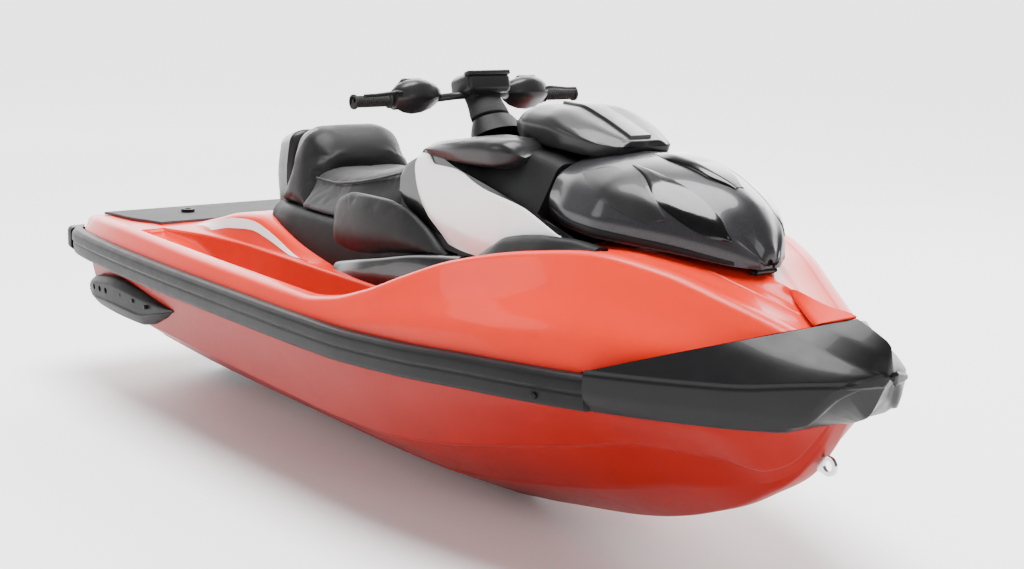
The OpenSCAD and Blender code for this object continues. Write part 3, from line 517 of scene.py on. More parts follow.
class WATERCRAFT_OT_hull(bpy.types.Operator):
    """Stepped vee hull as one laminate shell"""

    bl_idname = "watercraft.hull"
    bl_label = "Hull"

    def execute(self, context):
        size = context.scene.watercraft_hull
        pitch = size.station * 1000
        xs = steps(TRANSOM_X, 1300, pitch) + steps(1310, 1526, 12)
        hull = loft("hull_shell", [span(x, hull_section(x)) for x in xs])
        in_edit(hull, recalculate)
        apply_modifier(hull, "SOLIDIFY", thickness=size.wall, offset=-1)
        for cut in (block("tunnel", (340, 300, 420), (-1350, 0, -135), 0),
                    block("intake", (306, 150, 90), (-920, 0, -270), 0)):
            carve(hull, cut)
        transom = hull_section(TRANSOM_X)
        corner = transom[0][0]
        outer = [(y, z) for y, z in transom if y >= TUNNEL_Y + 1]
        inner = [(TUNNEL_Y + 1, z) for z in (TUNNEL_TOP, 0, outer[-1][1])]
        rings = [at_x(TRANSOM_X + 0.5, resampled(edge, 16)) for edge in (outer, inner)]
        plates = [loft("plate", mirrored(rings, side)) for side in (1, -1)]
        lintel = loft("lintel", [[(TRANSOM_X + 0.5, y, z) for y in (-half, half)]
                                 for half, z in ((corner, 213), (TUNNEL_Y + 1, TUNNEL_TOP))])
        lining = loft("lining", [at_x(x, ((-TUNNEL_Y, belly(x, TUNNEL_Y)), (-TUNNEL_Y, TUNNEL_TOP),
                                          (TUNNEL_Y, TUNNEL_TOP), (TUNNEL_Y, belly(x, TUNNEL_Y))))
                                 for x in (TRANSOM_X + 1, TUNNEL_END)])
        front = loft("front", [[(TUNNEL_END, y, z) for y in (-TUNNEL_Y, TUNNEL_Y)]
                               for z in (belly(TUNNEL_END, TUNNEL_Y), TUNNEL_TOP)])
        hull = joined("hull_shell", [hull, lintel, lining, front] + plates)
        settle(hull, "root", FINISHES["hull_gelcoat"], ["hull"])
        return {"FINISHED"}


def belly(x, y):
    """Height of the hull bottom at a distance from the keel"""
    half = hull_section(x)
    for (y0, z0), (y1, z1) in zip(half[::-1], half[-2::-1]):
        if y0 <= y <= y1 and y1 > y0:
            return z0 + (z1 - z0) * (y - y0) / (y1 - y0) + 1
    return half[-1][1]


def resampled(points, n):
    """The same outline at n even steps of its length"""
    points = [Vector(p) for p in points]
    lengths = [(b - a).length for a, b in zip(points, points[1:])]
    out = []
    for k in range(n):
        left = sum(lengths) * k / (n - 1)
        for a, b, length in zip(points, points[1:], lengths):
            if left <= length + 1e-6:
                out.append(tuple(a.lerp(b, left / max(length, 1e-6))))
                break
            left -= length
        else:
            out.append(tuple(points[-1]))
    return out


class WATERCRAFT_OT_deck(bpy.types.Operator):
    """Deck moulding with gunwales, footwells and the raised seat pedestal"""

    bl_idname = "watercraft.deck"
    bl_label = "Deck"

    def execute(self, context):
        size = context.scene.watercraft_hull
        pitch = size.station * 1000
        xs = (steps(-1654, -1160, pitch) + [-1156, -1150] + steps(-1130, 404, pitch)
              + [412, 420, 422, 424] + steps(440, 1640, pitch))
        deck = loft("deck_shell", [span(x, deck_section(x)) for x in xs])
        clip_above(deck, True, 0.0008)
        in_edit(deck, recalculate)
        apply_modifier(deck, "SOLIDIFY", thickness=size.wall, offset=-1)
        settle(deck, "root", FINISHES["deck_gelcoat"], ["deck"], angle=38)
        for side, name in SIDES:
            stripe = side_stripe("pedestal_stripe_" + name, side)
            settle(stripe, "root", FINISHES["white_gelcoat"])
        return {"FINISHED"}


def side_stripe(name, side):
    """Thin inlaid stripe along the shoulder of the seat pedestal, tapering forward"""
    rings = []
    for x in steps(-1190, -400, 16):
        t = along(PEDESTAL_TOP, x)
        w = min(along(PEDESTAL_Y, x), along(WELL_IN, x) - 14)
        drop = along([(-1190, 3), (-860, 6), (-700, 12), (-400, 30)], x)
        wide = along([(-1190, 24), (-860, 34), (-700, 26), (-400, 3)], x)
        y0, z0 = w - 12, t - 10
        y1, z1 = w + 10, 304
        length = math.hypot(y1 - y0, z1 - z0)
        u, v = (y1 - y0) / length, (z1 - z0) / length
        out = (-v, u)
        ring = []
        for d, e in ((drop, -2), (drop, 1.6), (drop + wide, 1.6), (drop + wide, -2)):
            d = min(d, length - 3)
            ring.append((x, y0 + u * d + out[0] * e, z0 + v * d + out[1] * e))
        rings.append(ring)
    return solid(name, rings, side)


class WATERCRAFT_OT_strakes(bpy.types.Operator):
    """Rubbing strakes along both sides with their stern end blocks"""

    bl_idname = "watercraft.strakes"
    bl_label = "Rubbing strakes"

    def execute(self, context):
        for side, name in SIDES:
            xs = steps(-1650, 1000, 26) + steps(1012, 1112, 12)
            rings = [at_x(x, strake_section(x)) for x in xs]
            piece = solid("strake_" + name, rings, side)
            plug = rod("plug", (985, side * (sheer(985) - 12), bond(985) - 24),
                       (989, side * (sheer(985) - 1), bond(985) - 24), 9)
            apply_modifier(plug, "BEVEL", width=0.0015, segments=2)
            tail = [[(x, sheer(-1600) * k + dy, 215 + dz) for dy, dz in
                     ((-52, 40), (-6, 40), (3, 30), (3, -30), (-6, -40), (-52, -40))]
                    for x, k in ((-1655, 0.968), (-1652, 0.985), (-1610, 0.998), (-1606, 0.996))]
            tail = [[(x, y, z) for x, y, z in rounded_3(ring, 8)] for ring in tail]
            block_end = solid("tail", tail, side)
            piece = joined("strake_" + name, [piece, plug, block_end])
            settle(piece, "root", FINISHES["satin_black"], ["side_bumper_" + name])
        return {"FINISHED"}


def rounded_3(ring, radius):
    """Closed ring at one station with its corners eased"""
    return at_x(ring[0][0], rounded_ring([(y, z) for _, y, z in ring], radius, 3))


def crown(x):
    """Rise of the foredeck's middle over its crest lines"""
    return along([(1000, 2), (1200, 12), (1450, 46), (1556, 72), (1642, 70), (1656, 64)],
                 x) if x > 1000 else 2


def cap_section(x):
    """Half section of the bow cap: crown, shoulder crease, facet, upright face and lower lip"""
    w, zb = max(14, sheer(x)), bond(x)
    y, z = min(along(CREST_Y, x), w - 6), along(CREST_Z, x)
    face = min(z - 8, along([(1100, zb + 58), (1400, 312), (1560, 334), (1656, 345)], x))
    foot = along([(1100, zb - 50), (1400, zb - 48), (1500, 205), (1560, 250), (1600, 308),
                  (1656, 352)], x)
    keel = along([(1100, zb - 44), (1400, zb - 42), (1500, 206), (1595, 236), (1656, 344)], x)
    zb = max(zb, foot + 8)
    points = [(0, z + crown(x)), (y * 0.5, z + 3 + (crown(x) - 3) * 0.55), (y, z - 1),
              (w - (w - y) * 0.38, z - (z - face) * 0.42),
              (w - 1, face), (w - 4, face - 8), (w - 1, face - 16), (w - 1, zb - 2),
              (w - 12, zb - 26),
              (w * along([(1400, 0.92), (1500, 0.86), (1656, 0.5)], x), foot),
              (0, keel) if x > 1470 else (max(0, w - 80), foot + 6)]
    radii = [8, 8, 26, 5, 4, 4, 9, 12, 8]
    return rounded(points, radii, 4)


class WATERCRAFT_OT_bow_cap(bpy.types.Operator):
    """Black cap round the bow, which takes over from the deck at a sloping joint"""

    bl_idname = "watercraft.bow_cap"
    bl_label = "Bow cap"

    def execute(self, context):
        xs = steps(1060, 1600, 15) + [1612, 1624, 1634, 1642, 1648, 1652, 1655]
        rings = []
        for x in xs:
            half = cap_section(x)
            rings.append(both_sides(x, half))
        middle = sum(z for _, _, z in rings[-1]) / len(rings[-1])
        for push, scale in ((1656.5, 0.86), (1657, 0.5), (1657, 0.02)):
            rings.append([(push, y * scale, middle + (z - middle) * scale) for _, y,
                          z in rings[-1]])
        cap = loft("bow_cap", rings)
        clip_above(cap, False, -0.0012)
        in_edit(cap, lambda: bpy.ops.mesh.bisect(plane_co=(1.112, 0, 0), plane_no=(1, 0, 0),
                                                 clear_inner=True))
        in_edit(cap, recalculate)
        apply_modifier(cap, "SOLIDIFY", thickness=0.006, offset=-1)
        settle(cap, "root", FINISHES["nose_black"], ["bow_bumper"], angle=35)
        return {"FINISHED"}


class WATERCRAFT_OT_sponsons(bpy.types.Operator):
    """Wedge sponsons with their lightening pockets and fixing screws"""

    bl_idname = "watercraft.sponsons"
    bl_label = "Sponsons"

    def execute(self, context):
        for side, name in SIDES:
            rings = []
            for x in steps(-1458, -812, 18):
                out = along([(-1458, 562), (-1365, 584), (-1205, 590), (-900, 574), (-812, 560)], x)
                hi = along([(-1458, 80), (-1425, 112), (-1365, 124), (-1205, 144), (-874, 110),
                            (-812, 104)], x)
                lo = along([(-1458, 52), (-1399, 22), (-1041, 12), (-912, 52), (-812, 92)], x)
                tall = hi - lo
                ring = rounded_ring([(512, hi), (out - 20, hi), (out - 1, hi - tall * 0.2),
                                     (out - 5, lo + tall * 0.36),
                                     (out - 2, lo + tall * 0.3), (out - 26, lo), (512, lo)],
                                    [2, 8, 6, 3, 4, 6, 2], 3)
                rings.append(at_x(x, ring))
            body = solid("sponson_" + name, rings, side)
            for k in range(4):
                x, z = -1425 + 54 * k, 84 + 2 * k
                cut = rod("pocket", (x, side * 566, z), (x, side * 620, z), 11, 32)
                carve(body, cut)
                boss = rod("boss", (x, side * 558, z), (x, side * 569, z), 6, 6)
                body = joined("sponson_" + name, [body, boss])
            for k in range(3):
                x, z = -1150 + 95 * k, 96 - 4 * k
                head = rod("screw", (x, side * 570, z), (x, side * 588, z), 7, 20)
                apply_modifier(head, "BEVEL", width=0.002, segments=2)
                body = joined("sponson_" + name, [body, head])
            settle(body, "root", FINISHES["sponson_plastic"], ["sponson_" + name])
        return {"FINISHED"}


def carve(obj, cutter):
    """Cut one piece out of another and remove the cutter"""
    apply_modifier(obj, "BOOLEAN", operation="DIFFERENCE", solver="EXACT", object=cutter)
    bpy.data.objects.remove(cutter)


class WATERCRAFT_OT_mats(bpy.types.Operator):
    """Foam traction mats on the footwell floors"""

    bl_idname = "watercraft.mats"
    bl_label = "Footwell mats"

    def execute(self, context):
        for side, name in SIDES:
            rings = []
            for x in steps(-655, 245, 12):
                a, b = along(WELL_IN, x) + 34, min(along(CREST_Y, x) - 46, 500) - 42
                ring = rounded_ring([(a, 121), (a, 128), (b, 128), (b, 121)], [1, 2.5, 2.5, 1], 2)
                rings.append(at_x(x, ring))
            mat = solid("footwell_mat_" + name, rings, side)
            settle(mat, "root", FINISHES["mat_foam"], ["footwell_mat_" + name])
            rings = []
            for x in steps(-1100, -850, 12):
                a, b = along(WELL_IN, x) + 44, min(along(CREST_Y, x) - 46, 500) - 30
                z = along(WELL_FLOOR, x)
                rings.append([(x, y, z + dz) for y,
                              dz in rounded_ring([(a, 0.5), (a, 7), (b, 7), (b, 0.5)],
                                                 [1, 2.5, 2.5, 1], 2)])
            ramp = solid("ramp_mat_" + name, rings, side)
            settle(ramp, "root", FINISHES["mat_foam"])
        return {"FINISHED"}


# ---- Seat


SADDLE_TOP = [(-700, 556), (-640, 566), (-560, 566), (-440, 566), (-330, 580), (-220, 604),
              (-130, 630),
              (-70, 652), (-34, 662)]
SADDLE_Y = [(-700, 160), (-560, 176), (-420, 180), (-300, 172), (-150, 140), (-34, 112)]
SADDLE_FOOT = [(-700, 222), (-400, 246), (-200, 240), (-34, 214)]
CUSHION_CAP = 0.006
CLOTH_FRAMES = 20


class SeatSettings(bpy.types.PropertyGroup):
    """How firmly the seat pads are filled"""

    pressure: bpy.props.FloatProperty(name="Pressure",
                                      description="Air pressure that swells the covers",
                                      default=4.0, min=0.0, max=12.0)
    voxel: bpy.props.FloatProperty(name="Cover mesh", description="Edge length of the cover mesh",
                                   default=0.007, min=0.004, max=0.02, unit="LENGTH")


def swell(pad, settings, cap=CUSHION_CAP):
    """Cover a pad with cloth, fill it and keep the filled shape"""
    apply_modifier(pad, "REMESH", mode="VOXEL", voxel_size=settings.voxel)
    before = [v.co.copy() for v in pad.data.vertices]
    cloth = pad.modifiers.new("Cloth", "CLOTH")
    cloth.settings.use_pressure = True
    cloth.settings.uniform_pressure_force = settings.pressure
    cloth.settings.effector_weights.gravity = 0
    cloth.point_cache.frame_start = 1
    cloth.point_cache.frame_end = CLOTH_FRAMES
    scene = bpy.context.scene
    for number in range(1, CLOTH_FRAMES + 1):
        scene.frame_set(number)
    activate(pad)
    bpy.ops.object.modifier_apply(modifier=cloth.name)
    scene.frame_set(1)
    for vertex, start in zip(pad.data.vertices, before):
        shift = vertex.co - start
        if shift.length > cap:
            vertex.co = start + shift.normalized() * cap
    apply_modifier(pad, "SUBSURF", levels=1, render_levels=1)
    return pad


def pad_ring(x, points, radii):
    """Full ring through a pad at x from its port half, top to foot"""
    half = rounded([(0, points[0][1])] + points + [(0, points[-1][1])], radii, 3)
    ring = at_x(x, half[:-1]) + [(x, 0, half[-1][1])]
    ring += [(x, -y, z) for y, z in reversed(half[1:-1])]
    return ring


def saddle_ring(x):
    t, w, foot = along(SADDLE_TOP, x), along(SADDLE_Y, x), along(SADDLE_FOOT, x)
    return pad_ring(x, [(w * 0.62, t - 3), (w, t - 22), (w + 18, t - 66), (foot, 452),
                        (foot - 8, 443)],
                    [40, 26, 30, 12, 3])


def bolster_ring(x):
    t = along([(-742, 648), (-716, 676), (-672, 690), (-630, 684), (-596, 660), (-560, 606),
               (-548, 580)], x)
    w = along([(-742, 138), (-700, 152), (-640, 158), (-548, 150)], x)
    foot = along([(-742, 205), (-548, 222)], x)
    return pad_ring(x, [(w * 0.7, t - 3), (w, t - 28), (w + 20, t - 90 if t > 640 else t - 50),
                        (foot, 452),
                        (foot - 8, 443)], [30, 20, 30, 12, 3])


def ease_ends(ring_at, a, b, pitch, ease=10):
    """Rings with softly closed ends"""
    rings = [ring_at(x) for x in steps(a, b, pitch)]
    for index, way in ((0, -1), (-1, 1)):
        ring = rings[index]
        my = sum(p[1] for p in ring) / len(ring)
        mz = sum(p[2] for p in ring) / len(ring)
        for push, scale in ((ease * 0.5, 0.97), (ease * 0.85, 0.9), (ease, 0.78)):
            new = [(x + way * push, my + (y - my) * scale, mz + (z - mz) * scale) for x, y,
                   z in ring]
            rings.insert(0, new) if way < 0 else rings.append(new)
    return rings


def pad_faces(obj, material, test):
    """Give faces a second finish where a test of their middle says so"""
    obj.data.materials.append(material)
    for face in obj.data.polygons:
        if test(face.center * 1000, face.normal):
            face.material_index = len(obj.data.materials) - 1


def dark_flank(c, n):
    """Lower front of the saddle's sides, under its seam"""
    return c.z < 560 + (c.x + 560) * 0.09 and c.x > -338 - max(0, 500 - c.z) * 0.15


def pale_blaze(c, n):
    """Slanting band down each side of the bolster"""
    return (abs(n.y) > 0.25 and abs(c.y) > 118 and -700 < c.x + (690 - c.z) * 0.5 < -640
            and c.z > 520)


class WATERCRAFT_OT_seat(bpy.types.Operator):
    """Saddle, raised bolster and knee pads, each filled, with piping and stitches along the
    saddle's shoulders
    """

    bl_idname = "watercraft.seat"
    bl_label = "Seat"

    def execute(self, context):
        settings = context.scene.watercraft_seat
        saddle = solid("saddle", ease_ends(saddle_ring, -560, -44, 12))
        saddle = swell(saddle, settings)
        settle(saddle, "root", FINISHES["seat_vinyl_grey"], ["seat_cushion"], 60)
        pad_faces(saddle, FINISHES["seat_vinyl"], dark_flank)
        bolster = solid("bolster", ease_ends(bolster_ring, -734, -566, 10))
        bolster = swell(bolster, settings)
        settle(bolster, "root", FINISHES["seat_vinyl"], ["seat_bolster"], 60)
        pad_faces(bolster, FINISHES["seat_vinyl_pale"], pale_blaze)
        for side, name in SIDES:
            rings = []
            for x in steps(-352, 286, 14):
                out = along([(-352, 236), (-280, 262), (-100, 276), (60, 272), (200, 262),
                             (286, 256)], x)
                hi = along([(-352, 482), (-290, 524), (-200, 548), (-40, 552), (60, 540),
                            (160, 500), (230, 460),
                            (286, 434)], x)
                lo = along([(-352, 330), (-200, 340), (0, 372), (150, 396), (286, 420)], x)
                deep = along([(-352, 8), (-300, 22), (0, 26), (200, 20), (286, 8)], x)
                tall = hi - lo
                ring = rounded_ring([(out - 26, hi), (out - deep * 0.3, hi - 4),
                                     (out + deep * 0.4, hi - tall * 0.55),
                                     (out + deep * 0.3, hi - tall * 0.7), (out - 22, lo),
                                     (out - 44, lo)],
                                    [4, 14, 26, 18, 6, 4], 3)
                rings.append(at_x(x, ring))
            pad = solid("knee_pad_" + name, rings, side)
            pad = swell(pad, settings, 0.004)
            settle(pad, "root", FINISHES["seat_vinyl"], angle=60)
        for name, points in seam_lines().items():
            piping = tube(name, points, 2.4, 10)
            settle(piping, "root", FINISHES["seat_vinyl"])
            stitches = sewn(name.replace("piping", "stitches"), points)
            settle(stitches, "root", FINISHES["thread"])
        return {"FINISHED"}


def seam_lines():
    """Paths of the piping along both shoulders of the saddle"""
    lines = {}
    for side, name in SIDES:
        lines["saddle_piping_" + name] = [
            (x, side * (along(SADDLE_Y, x) + 8),
             along(SADDLE_TOP, x) - 30) for x in steps(-548, -60, 14)]
    return lines


def sewn(name, points, length=5, pitch=9, offset=5):
    """Row of single stitches along a seam, each a small copy of the first"""
    stitches = []
    travelled = 0
    for a, b in zip(points, points[1:]):
        a, b = Vector(a), Vector(b)
        way = (b - a).normalized()
        while travelled < (b - a).length:
            p = a + way * travelled + Vector((0, 0, offset))
            stitches.append(rod("stitch", p, p + way * length, 0.7, 6))
            travelled += pitch
        travelled -= (b - a).length
    return joined(name, stitches)


class WATERCRAFT_OT_seat_shells(bpy.types.Operator):
    """Moulded seat base, the cowl behind the bolster and the skirts under the knee pads"""

    bl_idname = "watercraft.seat_shells"
    bl_label = "Seat shells"

    def execute(self, context):
        rings = []
        for x in steps(-748, 318, 16):
            t = along([(-760, 444), (-56, 444), (-10, 470), (300, 434), (330, 418)], x)
            lo = along(PEDESTAL_TOP, x) - 8 if x < -240 else max(along(CREST_Z, x), 305) - 6
            w = along([(-760, 222), (-600, 252), (-300, 262), (0, 262), (330, 258)], x)
            rings.append(pad_ring(x, [(w - 26, t - 1), (w - 6, t - 16), (w + 3, (t + lo) / 2),
                                      (w + 9, lo)],
                                  [16, 12, 20, 2]))
        base = solid("seat_base_shell", rings)
        settle(base, "root", FINISHES["trim_plastic"], ["seat_base"])
        cowl = solid("cowl", ease_ends(cowl_ring, -914, -748, 10, 18))
        settle(cowl, "root", FINISHES["cover_plastic"], ["seat_cowl"], 45)
        for side, name in SIDES:
            rings = []
            for x in steps(-286, 396, 14):
                hi = along([(-286, 326), (-150, 352), (0, 382), (145, 412), (280, 432), (396, 446)],
                           x)
                lo = max(along([(-286, 304), (-150, 278), (20, 300)], x), along(CREST_Z, x) - 4)
                out = along([(-286, 270), (-100, 292), (145, 298), (396, 300)], x)
                ring = rounded_ring([(out - 40, hi), (out - 8, hi), (out, hi - 8), (out + 12, lo),
                                     (out - 40, lo)],
                                    [3, 5, 8, 4, 3], 3)
                rings.append(at_x(x, ring))
            skirt = solid("seat_skirt_" + name, rings, side)
            settle(skirt, "root", FINISHES["piano_black"])
        return {"FINISHED"}


def cowl_ring(x):
    t = along([(-914, 618), (-880, 640), (-811, 659), (-748, 672)], x)
    lo = max(along(PEDESTAL_TOP, x) + 1, along([(-914, 520), (-880, 410), (-748, 392)], x))
    w = along([(-914, 96), (-860, 134), (-748, 166)], x)
    return pad_ring(x, [(w * 0.78, t - 3), (w, t - 22), (w + 16, (t + lo) / 2), (w + 4, lo)],
                    [34, 22, 60, 6])


# ---- Console, panels and covers


PANEL_THICK = 7


def body_side(x):
    """Half width of the top, height of the top and half width of the flank of the console"""
    return (along([(-40, 96), (200, 130), (400, 160), (600, 190), (950, 200)], x),
            along([(-40, 655), (60, 700), (250, 735), (400, 750), (600, 740), (700, 720),
                   (950, 580)], x),
            along(SIDE_Y, x))


class WATERCRAFT_OT_console(bpy.types.Operator):
    """Console body with its glovebox, white side panels, knee shrouds and top covers"""

    bl_idname = "watercraft.console"
    bl_label = "Console"

    def execute(self, context):
        rings = []
        for x in steps(-38, 690, 14):
            t, z, b = body_side(x)
            lo = max(440, along(CREST_Z, x) + 3)
            rings.append(pad_ring(x, [(t, z + 2), (b, min(560, z - 60)), (b + 5, lo)], [26, 60, 3]))
        shell = solid("console_shell", rings)
        for cut in (block("bin", (70, 132, 220), (35, 0, 670), 0),
                    block("bin", (20, 56, 24), (-26, 0, 674), 0)):
            carve(shell, cut)
        pin = rod("pin", (-26, -33, 674), (-26, 33, 674), 3, 16)
        settle(joined("console_shell", [shell, pin]), "root",
               FINISHES["trim_plastic"], ["console"])
        rings = []
        for x in steps(-12, 82, 9):
            top = body_side(x)[1]
            ring = pad_ring(x, [(84, top - 4 + 18), (92, top - 4 + 6)], [10, 3])
            rings.append([(x, y, max(z, top + 4.5)) for x, y, z in ring])
        lid = solid("glovebox_lid_shell", rings)
        knuckle = rod("knuckle", (-26, -24, 674), (-26, 24, 674), 7, 24)
        arm = block("arm", (34, 46, 8), (-8, 0, 684), 1.5)
        latch = block("latch", (10, 46, 6), (78, 0, body_side(78)[1] + 19), 2)
        lid = joined("glovebox_lid_shell", [lid, knuckle, arm, latch])
        settle(lid, "glovebox", FINISHES["cover_plastic"], ["glovebox_lid"])
        for side, name in SIDES:
            console_flank(side, name)
        return {"FINISHED"}


def panel_rings(x0, x1, low, high, lift):
    """Thin skin standing off the console flank between two edge curves, with a crease along it"""
    rings = []
    for x in steps(x0, x1, 12):
        b, lo, hi = along(SIDE_Y, x), along(low, x), along(high, x)
        outer = []
        for k in range(9):
            z = hi + (lo - hi) * k / 8
            if z > 520:
                y = b + lift + (640 - z) * 0.07
            else:
                y = b + lift + 8.4 - (520 - z) * 0.16
            outer.append((y - (1.5 if k in (0, 8) else 0), z))
        rings.append(at_x(x, outer + [(y - PANEL_THICK, z) for y, z in reversed(outer)]))
    return rings


def console_flank(side, name):
    """Panel, dark surround, cover and shroud of one side"""
    high = [(66, 662), (90, 690), (140, 694), (185, 670), (300, 672), (459, 640), (645, 618),
            (825, 566), (868, 556)]
    low = [(66, 640), (80, 600), (120, 556), (180, 516), (237, 486), (300, 450), (379, 430),
           (450, 430), (600, 436),
           (740, 488), (820, 532), (868, 552)]
    white = solid("side_panel_shell_" + name, panel_rings(66, 868, low, high, 7), side)
    bevel_over(white, 0.0015, 50)
    settle(white, "root", FINISHES["white_gelcoat"], ["side_panel_" + name], 30)
    high = [(-34, 610), (-10, 640), (60, 672), (150, 700), (300, 676), (600, 630), (820, 580),
            (892, 562)]
    low = [(-34, 560), (0, 536), (168, 480), (289, 412), (400, 420), (600, 432), (760, 488),
           (892, 552)]
    surround = solid("cockpit_band_" + name, panel_rings(-34, 892, low, high, 2), side)
    settle(surround, "root", FINISHES["piano_black"])
    rings = []
    for x in steps(44, 556, 10):
        t = along([(44, 690), (121, 722), (301, 754), (440, 773), (510, 773), (540, 762),
                   (556, 744)], x)
        lo = along([(44, 674), (137, 690), (303, 692), (470, 698), (540, 712), (556, 722)], x)
        w = along([(44, 188), (150, 238), (350, 266), (470, 264), (530, 246), (556, 220)], x)
        inner = max(97, w - 116)
        ring = rounded_ring([(inner, lo - 20), (inner, t), (w - 34, t - 1), (w - 6, t - 14),
                             (w, (t + lo) / 2),
                             (w - 10, lo), (w - 30, lo - 6)], [3, 10, 26, 16, 20, 8, 6], 4)
        rings.append(at_x(x, ring))
    rings.append([(564, (y - 190) * 0.8 + 190, (z - 734) * 0.55 + 730) for x, y, z in rings[-1]])
    cover = solid("console_cover_shell_" + name, rings, side)
    settle(cover, "root", FINISHES["cover_plastic"], ["console_cover_" + name],
           42)
    rings = []
    for x in steps(500, 984, 14):
        y = along([(500, 306), (587, 326), (800, 326), (984, 300)], x)
        z = along(CREST_Z, x) - 4
        hi = along([(500, 470), (587, 512), (640, 540), (800, 566), (900, 570), (984, 562)], x)
        hi = max(hi, z + 16)
        ring = rounded_ring([(y - 30, z), (y - 34, hi - 6), (y - 16, hi), (y + 4, hi - 3),
                             (y + 14, hi - 14),
                             (y + 26, z)], [2, 6, 6, 8, 12, 3], 3)
        rings.append(at_x(x, ring))
    shroud = solid("knee_shroud_shell_" + name, rings, side)
    settle(shroud, "root", FINISHES["satin_black"], ["knee_shroud_" + name], 40)


# ---- Hood and fairing


HOOD_W = [(700, 235), (800, 262), (900, 266), (1000, 235), (1100, 185), (1180, 132), (1230, 88),
          (1262, 44)]
HOOD_TOP = [(700, 752), (800, 762), (900, 764), (1000, 756), (1100, 732), (1180, 694), (1230, 645),
            (1262, 590)]
HOOD_LOW = [(700, 602), (800, 582), (960, 570), (1100, 558), (1262, 530)]
HOOD_RIDGE = [(700, 0), (900, 6), (1100, 12), (1262, 4)]
INLAY_SINK = 1.5
FAIRING_TOP = [(372, 826), (420, 850), (480, 862), (560, 862), (660, 840), (744, 812), (800, 792)]
TRAY_W = [(900, 316), (1000, 298), (1150, 225), (1270, 140), (1330, 92), (1352, 60)]
TRAY_TOP = [(900, 572), (1000, 572), (1150, 562), (1270, 534), (1352, 530)]


def hood_half(x):
    w, t, lo, r = along(HOOD_W, x), along(HOOD_TOP, x), along(HOOD_LOW, x), along(HOOD_RIDGE, x)
    points = [(0, t), (w * 0.35, t - 4 - r), (w * 0.66, t - 26 - 2 * r),
              (w * 0.88, t - (t - lo) * 0.34 - r),
              (w, lo + (t - lo) * 0.26), (w - 6, lo)]
    return rounded(points, [w * 0.2, w * 0.12, w * 0.1, 16], 5)


def on_hood(x, share):
    """Point and outward way of the hood skin at a share of the girth from crown to edge"""
    half = [Vector((y, z)) for y, z in hood_half(x)]
    lengths = [(b - a).length for a, b in zip(half, half[1:])]
    left = share * sum(lengths)
    for a, b, length in zip(half, half[1:], lengths):
        if left <= length:
            way = (b - a).normalized()
            return a + way * left, Vector((-way.y, way.x))
        left -= length
    way = (half[-1] - half[-2]).normalized()
    return half[-1], Vector((-way.y, way.x))


def hood_patch(name, high, low, lift, side):
    """Thin inlay on the hood flank between two curves of girth share"""
    x0, x1 = max(high[0][0], low[0][0]), min(high[-1][0], low[-1][0])
    rings = []
    for x in steps(x0, x1, 9):
        a, b = along(high, x), along(low, x)
        outer, inner = [], []
        for k in range(7):
            p, way = on_hood(x, a + (b - a) * k / 6)
            rise = lift if 0 < k < 6 else lift * 0.3
            outer.append((x, *(p + way * rise)))
            inner.append((x, *(p - way * INLAY_SINK)))
        rings.append(outer + inner[::-1])
    return solid(name, rings, side)


